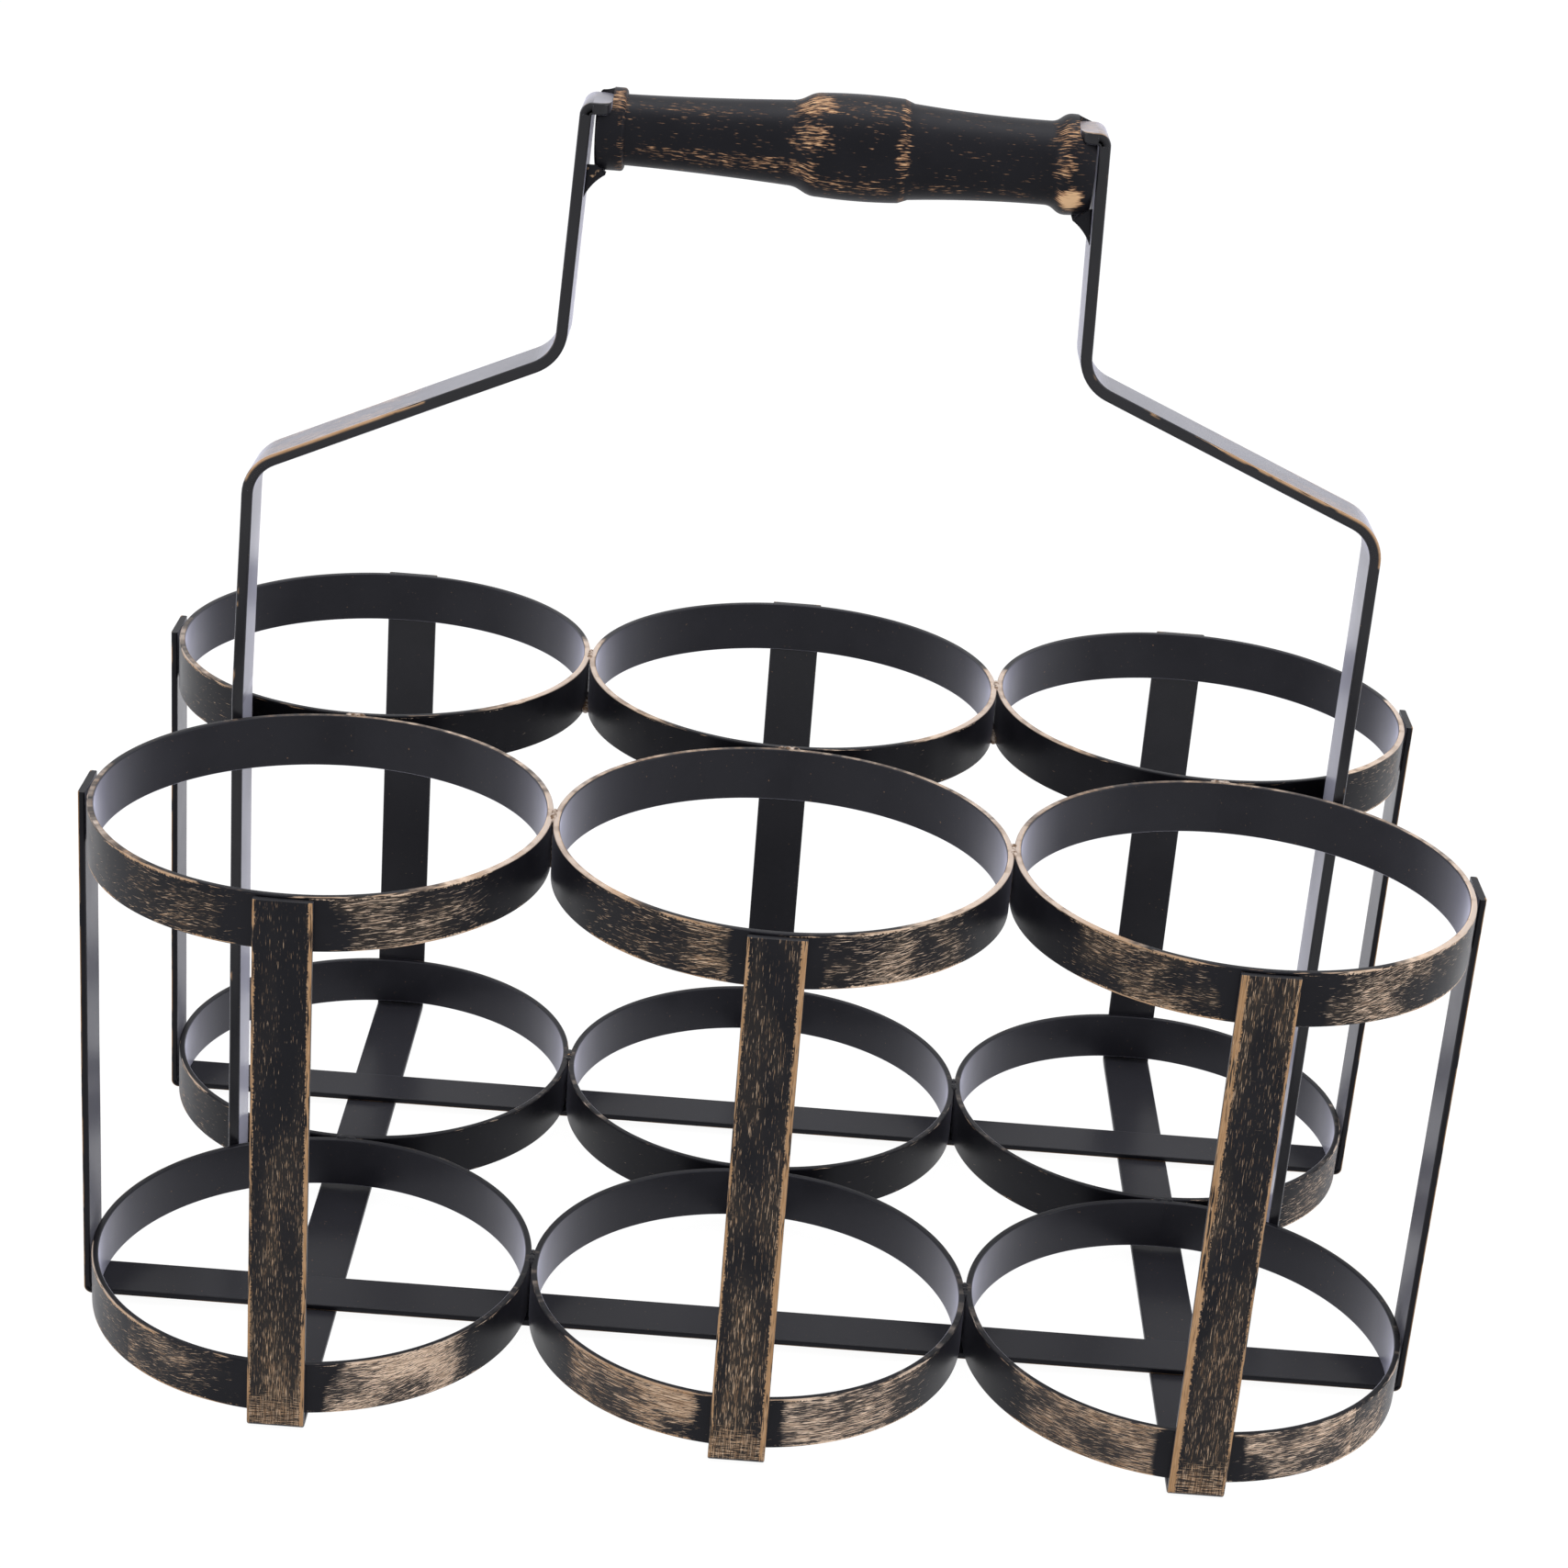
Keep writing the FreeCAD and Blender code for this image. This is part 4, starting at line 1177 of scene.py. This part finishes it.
def ease_brace(side):
    node = f"grip_brace_{side}"
    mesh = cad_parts[node].data.copy()
    work = bmesh.new()
    work.from_mesh(mesh)
    bmesh.ops.remove_doubles(work, verts=work.verts, dist=MERGE_DISTANCE)
    bmesh.ops.dissolve_limit(work, angle_limit=FLAT_ANGLE, verts=work.verts, edges=work.edges)
    work.to_mesh(mesh)
    work.free()
    mesh.materials.clear()
    mesh.materials.append(BRACE_STEEL)
    maker = link("brace_maker", mesh)
    ease_edges(maker, BRACE_BEVEL, 3, BRACE_ANGLE)
    maker.modifiers.new("flat_faces", "WEIGHTED_NORMAL")
    piece = keep_mesh(maker, node + "_plate")
    piece.data.shade_smooth()
    return stand_in(piece, STEEL_SLOT, node)


for side in SIDES:
    brace = ease_brace(side)
print("braces of", len(brace.data.polygons), "faces")

# %% [markdown]
# ## The turned grip
# The grip is one piece of wood from a lathe: a collar, a neck, a barrel-shaped crown, a
# second neck and a flared collar. A lathe cuts an outline round an axis, so the mesh is
# made the same way. The outline comes first: straight runs, bows and S-shaped swells.

# %% Draw the grip's outline
grip_low, grip_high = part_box("wooden_grip")
GRIP_LENGTH = grip_high.x - grip_low.x
GRIP_START = grip_low.x
GRIP_SETBACK = middle_of("wooden_grip").y
CROWN_RADIUS = (grip_high.y - grip_low.y) / 2
GRIP_AXIS = grip_high.z - CROWN_RADIUS
COLLAR_RADIUS = 8.55 * MM
COLLAR_LENGTH = 6.0 * MM
COLLAR_ROUNDING = 0.8 * MM
LEFT_NECK = 7.3 * MM
LEFT_SHOULDER = 8.75 * MM
CROWN_EDGE = 10.7 * MM
RIGHT_SHOULDER = 9.9 * MM
RIGHT_NECK = 8.65 * MM
FLARE_RADIUS = 10.4 * MM
RIGHT_END = 9.4 * MM
LEFT_HOLLOW = 0.2 * MM
RIGHT_HOLLOW = 0.35 * MM
CURVE_STEPS = 14
CROWN_SHARES = (0.385, 0.452, 0.614, 0.634)
FLARE_SHARES = (0.909, 0.953)


def bow(start, end, rise):
    """Gentle curve that stands this far off the straight line at its middle."""
    points = []
    for step in range(1, CURVE_STEPS + 1):
        t = step / CURVE_STEPS
        point = start.lerp(end, t)
        points.append(point + Vector((0, 4 * t * (1 - t) * rise)))
    return points


def swell(start, end):
    """S curve that leaves and arrives along the axis."""
    half_way = Vector(((end.x - start.x) / 2, 0))
    poles = (start, start + half_way, end - half_way, end)
    points = []
    for step in range(1, CURVE_STEPS + 1):
        t = step / CURVE_STEPS
        weights = ((1 - t) ** 3, 3 * t * (1 - t) ** 2, 3 * t * t * (1 - t), t ** 3)
        points.append(sum((pole * weight for pole, weight in zip(poles, weights)), Vector((0, 0))))
    return points


def quarter(centre, radius, first):
    """Quarter round of a turned edge, clockwise from this angle."""
    points = []
    for step in range(CURVE_STEPS // 2 + 1):
        angle = first - QUARTER * step / (CURVE_STEPS // 2)
        points.append(centre + Vector((math.cos(angle), math.sin(angle))) * radius)
    return points


def grip_outline():
    """Points (distance along, radius) from the left end to the right end."""
    def at(share, radius):
        return Vector((GRIP_LENGTH * share, radius))

    crown_start, crown_full, crown_end, crown_foot = CROWN_SHARES
    flare_start, flare_top = FLARE_SHARES
    inner = COLLAR_RADIUS - COLLAR_ROUNDING
    outline = quarter(Vector((COLLAR_ROUNDING, inner)), COLLAR_ROUNDING, math.pi)
    outline += quarter(Vector((COLLAR_LENGTH - COLLAR_ROUNDING, inner)), COLLAR_ROUNDING, QUARTER)
    outline.append(Vector((COLLAR_LENGTH, LEFT_NECK)))
    outline += bow(outline[-1], at(crown_start, LEFT_SHOULDER), -LEFT_HOLLOW)
    outline += swell(outline[-1], at(crown_full, CROWN_EDGE))
    outline += bow(outline[-1], at(crown_end, CROWN_EDGE), CROWN_RADIUS - CROWN_EDGE)
    outline.append(at(crown_foot, RIGHT_SHOULDER))
    outline += bow(outline[-1], at(flare_start, RIGHT_NECK), -RIGHT_HOLLOW)
    outline += swell(outline[-1], at(flare_top, FLARE_RADIUS))
    outline += bow(outline[-1], at(1, RIGHT_END), (FLARE_RADIUS - RIGHT_END) / 4)
    return outline


outline = grip_outline()
print("grip outline:", len(outline), "points, axis at", GRIP_AXIS)

# %% [markdown]
# The finish of the grip is its own: the gold was rubbed through rather than brushed on.
# It shows as specks along the grain, as a band of short streaks on the crown's left
# shoulder, as a thin line on the crisp right one, and in one bare spot on the flare.
# Two numbers say where a point is: its share of the length, and its angle round the
# axis, which is 0 at the front and a quarter turn at the top.

# %% Blackened wood
SPECK_LENGTH = 2.2 * MM
SPECK_WIDTH = 0.23 * MM
RING_SPACING = 0.9 * MM
RUBBED_BROWN = (0.085, 0.048, 0.032, 1)
COPPER = (0.420, 0.235, 0.130, 1)
BARE_WOOD = (0.700, 0.455, 0.260, 1)
WOOD_DULLNESS = 0.13
RUBBED_ROUGHNESS = 0.2
RUBBED_DEPTH = -0.8
LATHE_RING_HEIGHT = 1.6
WOOD_RELIEF = {"Strength": 0.25, "Distance": 0.04 * MM}
FINE_DETAIL = 2.5
COARSE_GRAIN = 0.7
COARSE_GRAIN_SHARE = 0.12
GOLD_FROM = (0.045, 0.105)
COPPER_FROM = (0.07, 0.19)
BARE_FROM = (0.15, 0.30)
# Lines worn on two turned edges: the share of the length, and the ramp of paint beside it.
WORN_EDGES = (
    (CROWN_SHARES[2] + 0.006, (0.003, 0.011, 0.80, 0)),
    (COLLAR_LENGTH / GRIP_LENGTH - 0.006, (0.003, 0.014, 0.64, 0)),
)
RUBBED_EVERYWHERE = 0.28
RUB_FADE = (0.35, 1.75)
# Rubbed places: share of the length, angle in degrees, reach along, reach round, amount.
RUBS = (
    (0.440, 62, 0.046, 20, 1.22), (0.430, 20, 0.044, 20, 1.12), (0.420, -25, 0.036, 18, 1.02),
    (0.428, 100, 0.040, 25, 0.85), (0.425, 150, 0.034, 30, 0.95), (0.425, -110, 0.034, 40, 0.85),
    (0.617, 8, 0.017, 34, 1.00), (0.615, 60, 0.013, 20, 0.85), (0.616, 180, 0.014, 80, 0.80),
    (0.945, 50, 0.034, 24, 0.92), (0.940, 8, 0.026, 18, 1.00), (0.956, -34, 0.024, 17, 2.05),
    (0.945, 150, 0.030, 50, 0.95), (0.250, -24, 0.150, 17, 0.74), (0.345, -22, 0.060, 14, 0.82),
    (0.130, -18, 0.070, 13, 0.66), (0.210, 52, 0.130, 16, 0.60), (0.520, -36, 0.100, 14, 0.78),
    (0.540, 55, 0.080, 24, 0.58), (0.690, -37, 0.070, 12, 0.62), (0.840, -39, 0.090, 12, 0.52),
    (0.045, 56, 0.022, 22, 1.10), (0.300, -150, 0.150, 30, 0.60), (0.780, 160, 0.100, 40, 0.52),
)


def grip_fields(bench):
    spot = bench.add("ShaderNodeTexCoord").outputs["Object"]
    x, y, z = bench.parts(spot)
    share = bench.per(bench.minus(x, GRIP_START), GRIP_LENGTH)
    to_front = bench.product(bench.minus(y, GRIP_SETBACK), -1)
    angle = bench.math("ARCTAN2", bench.minus(z, GRIP_AXIS), to_front)
    return SimpleNamespace(spot=spot, x=x, share=share, angle=angle)


def rubbed_amount(bench, grip):
    """Paint rubbed through: the strongest of the rubbed places and worn edges at each point."""
    amount = RUBBED_EVERYWHERE
    for share, degrees, reach, spread, strength in RUBS:
        off_share = bench.per(bench.minus(grip.share, share), reach)
        turned = bench.apart(grip.angle, math.radians(degrees))
        nearest = bench.math("MINIMUM", turned, bench.minus(math.tau, turned))
        off_angle = bench.per(nearest, math.radians(spread))
        squares = bench.add_share(off_share, off_share, bench.product(off_angle, off_angle))
        amount = bench.most(bench.ramp(bench.math("SQRT", squares), *RUB_FADE, strength, 0), amount)
    for share, fade in WORN_EDGES:
        amount = bench.most(amount, bench.ramp(bench.apart(grip.share, share), *fade))
    return amount


def blackened_wood():
    material, bench, shader = new_finish("rubbed_black_wood")
    grip = grip_fields(bench)
    black, gloss = satin_black(bench, grip.spot)
    gloss = bench.plus(gloss, WOOD_DULLNESS)
    # Taken round a plain cylinder, the streaks run on along the axis over every swell.
    round_off = COLLAR_RADIUS / SPECK_WIDTH
    grain = bench.xyz(bench.per(grip.x, SPECK_LENGTH),
                      bench.product(bench.math("COSINE", grip.angle), round_off),
                      bench.product(bench.math("SINE", grip.angle), round_off))
    rubbed = over_cut(bench, bench.noise(grain, detail=FINE_DETAIL), rubbed_amount(bench, grip))
    coarse = bench.noise(grain, scale=COARSE_GRAIN, detail=1)
    depth = bench.add_share(coarse, COARSE_GRAIN_SHARE, rubbed)
    gold = bench.ramp(depth, *GOLD_FROM)
    paint = bench.mix(bench.ramp(depth, *COPPER_FROM), RUBBED_BROWN, COPPER)
    paint = bench.mix(bench.ramp(depth, *BARE_FROM), paint, BARE_WOOD)
    rings = bench.noise(bench.xyz(bench.per(grip.x, RING_SPACING), 0, 0), detail=1)
    height = bench.plus(bench.product(gold, RUBBED_DEPTH), bench.product(rings, LATHE_RING_HEIGHT))
    lift = bench.add("ShaderNodeBump", {"Height": height, **WOOD_RELIEF})
    bench.feed(shader.inputs["Base Color"], bench.mix(gold, black, paint))
    bench.feed(shader.inputs["Roughness"], bench.add_share(gold, RUBBED_ROUGHNESS, gloss))
    bench.feed(shader.inputs["Normal"], lift.outputs["Normal"])
    print("material: rubbed_black_wood with", len(material.node_tree.nodes), "nodes")
    return material


WOOD = blackened_wood()

# %% [markdown]
# Turned once round the axis, the outline becomes the blank. Each end of the real grip has
# a notch for an arm's tongue. It could be modelled into the mesh, but a cutter that is
# taken away from the blank does what the saw did, and its edges are eased afterwards.

# %% Turn the grip and cut its notches
LATHE_STEPS = 160
NOTCH_CLEARANCE = 0.2 * MM
NOTCH_BEVEL = 0.3 * MM
NOTCH_ANGLE = 50
NOTCH_STEPS = 10
TURNED_EDGE = math.radians(38)


def close_mesh(name, work):
    """Plain mesh from a bmesh whose faces are turned outwards."""
    bmesh.ops.recalc_face_normals(work, faces=work.faces)
    mesh = bpy.data.meshes.new(name)
    work.to_mesh(mesh)
    work.free()
    return mesh


def add_wall(work, near, far):
    """Faces between two closed rows of points."""
    for step in range(len(near)):
        after = (step + 1) % len(near)
        work.faces.new((near[step], near[after], far[after], far[step]))


def turned_mesh(outline):
    """Outline turned once round the grip's axis, closed by a flat face at each end."""
    work = bmesh.new()
    rounds = []
    for point in outline:
        circle = []
        for step in range(LATHE_STEPS):
            angle = math.tau * step / LATHE_STEPS
            place = (GRIP_START + point.x, GRIP_SETBACK + math.cos(angle) * point.y,
                     GRIP_AXIS + math.sin(angle) * point.y)
            circle.append(work.verts.new(place))
        rounds.append(circle)
    for near, far in zip(rounds, rounds[1:]):
        add_wall(work, near, far)
    work.faces.new(rounds[0])
    work.faces.new(rounds[-1])
    return close_mesh("grip_blank", work)


def notch_cutter(side):
    """Room for a tongue: rounded at its inner corners, open above and at the grip's end."""
    arm = arm_box(side)
    inner, outer = arm.inner - NOTCH_CLEARANCE, arm.inner + TONGUE_LENGTH
    half = arm.half_width + NOTCH_CLEARANCE
    corner = TONGUE_TIP + NOTCH_CLEARANCE
    plan = [(outer, half), (outer, -half)]
    for way in (-1, 1):
        for step in range(NOTCH_STEPS + 1):
            angle = QUARTER * step / NOTCH_STEPS if way < 0 else QUARTER * (1 - step / NOTCH_STEPS)
            plan.append((inner + corner - corner * math.sin(angle),
                         way * (half - corner + corner * math.cos(angle))))
    work = bmesh.new()
    floor = [work.verts.new((SIDES[side] * x, y, arm.top - ARM_THICKNESS)) for x, y in plan]
    roof = [work.verts.new((SIDES[side] * x, y, grip_high.z + ARM_THICKNESS)) for x, y in plan]
    work.faces.new(floor)
    work.faces.new(roof)
    add_wall(work, floor, roof)
    return link("notch_cutter", close_mesh("notch_cutter", work))


def turn_grip():
    mesh = turned_mesh(outline)
    mesh.materials.append(WOOD)
    maker = link("grip_maker", mesh)
    cutters = [notch_cutter(side) for side in SIDES]
    for cutter in cutters:
        cut = maker.modifiers.new("notch", "BOOLEAN")
        cut.object = cutter
        cut.solver = "EXACT"
    ease_edges(maker, NOTCH_BEVEL, 2, NOTCH_ANGLE)
    piece = keep_mesh(maker, "wooden_grip_turned")
    for cutter in cutters:
        bpy.data.objects.remove(cutter)
    piece.data.shade_smooth()
    piece.data.set_sharp_from_angle(angle=TURNED_EDGE)
    return stand_in(piece, WOOD_SLOT, "wooden_grip")


grip = turn_grip()
print("grip of", len(grip.data.polygons), "faces")

# %% [markdown]
# ## Floor, light and camera
# The caddy stands on a pale floor that runs out of the picture. The floor shows the
# camera mostly its own white, and a little of the light that falls on it, so a trace of
# shadow stays. The surroundings are white too, and a little weaker for soft light.

# %% Floor and surroundings
WHITE = (1, 1, 1, 1)
FLOOR_COLOUR = (0.93, 0.93, 0.93, 1)
FLOOR_ROUGHNESS = 0.9
FLOOR_SIZE = 8.0
FLOOR_DROP = 0.2 * MM
FLOOR_WHITE_SHARE = 0.90
FLOOR_GLOW = 1.06
SKY_FOR_DIFFUSE = 0.72


def seen_directly(bench):
    """1 for rays from the camera, and for the ones that gloss and glass send on."""
    path = bench.add("ShaderNodeLightPath").outputs
    return bench.most(path["Is Camera Ray"], path["Is Glossy Ray"], path["Is Transmission Ray"])


def pale_floor():
    bpy.ops.mesh.primitive_plane_add(size=FLOOR_SIZE, location=(0, 0, -FLOOR_DROP))
    floor = bpy.context.object
    floor.name = "floor"
    material = bpy.data.materials.new("pale_floor")
    material.use_nodes = True
    bench = NodeBench(material.node_tree)
    shader = material.node_tree.nodes["Principled BSDF"]
    output = material.node_tree.nodes["Material Output"]
    shader.inputs["Base Color"].default_value = FLOOR_COLOUR
    shader.inputs["Roughness"].default_value = FLOOR_ROUGHNESS
    shader.inputs["Specular IOR Level"].default_value = 0.0
    white = bench.make("ShaderNodeEmission", {"Color": WHITE, "Strength": FLOOR_GLOW})
    mixed = bench.add("ShaderNodeMixShader")
    bench.feed(mixed.inputs[0], bench.product(seen_directly(bench), FLOOR_WHITE_SHARE))
    bench.feed(mixed.inputs[1], shader.outputs[0])
    bench.feed(mixed.inputs[2], white)
    bench.feed(output.inputs["Surface"], mixed.outputs[0])
    floor.data.materials.append(material)


def white_surroundings():
    world = bpy.data.worlds.new("white_surroundings")
    world.use_nodes = True
    bench = NodeBench(world.node_tree)
    sky = world.node_tree.nodes["Background"]
    bench.feed(sky.inputs["Strength"], bench.ramp(seen_directly(bench), 0, 1, SKY_FOR_DIFFUSE, 1.0))
    sky.inputs["Color"].default_value = WHITE
    bpy.context.scene.world = world


pale_floor()
white_surroundings()
print("floor", FLOOR_SIZE, "m")

# %% [markdown]
# Three broad round lamps, above and at both sides, draw soft lights along the bars. The
# camera looks down on the caddy from the front, and is rolled a little.

# %% Lamps and camera
CAMERA_PLACE = Vector((-0.0055, -0.6626, 0.3917))
CAMERA_AIM = Vector((-0.0005, 0.0, 0.1142))
CAMERA_ROLL = math.radians(4.58)
CAMERA_LENS = 73.2
CAMERA_NEAREST = 0.01
# Lamps: place, width in metres, and power in watts.
LAMPS = {
    "lamp_above": ((0.05, 0.2, 1.5), 0.9, 9.0),
    "lamp_left": ((-1.4, -0.3, 0.7), 1.0, 5.0),
    "lamp_right": ((1.4, -0.3, 0.7), 1.0, 5.0),
}


def aimed(place, aim):
    """Turn that points an object's -Z axis from one place to another."""
    return (aim - place).to_track_quat("-Z", "Y").to_matrix()


def soft_lamp(name, place, size, power):
    lamp = bpy.data.lights.new(name, "AREA")
    lamp.shape = "DISK"
    lamp.size = size
    lamp.energy = power
    holder = link(name, lamp)
    holder.matrix_world = Matrix.Translation(place) @ aimed(Vector(place), CAMERA_AIM).to_4x4()


for name, lamp in LAMPS.items():
    soft_lamp(name, *lamp)

camera = bpy.data.cameras.new("camera")
camera.lens = CAMERA_LENS
camera.clip_start = CAMERA_NEAREST
holder = link("camera", camera)
turn = aimed(CAMERA_PLACE, CAMERA_AIM) @ Matrix.Rotation(CAMERA_ROLL, 3, "Z")
holder.matrix_world = Matrix.Translation(CAMERA_PLACE) @ turn.to_4x4()
bpy.context.scene.camera = holder
bpy.context.scene.view_settings.view_transform = "Standard"
print("camera at", list(CAMERA_PLACE))
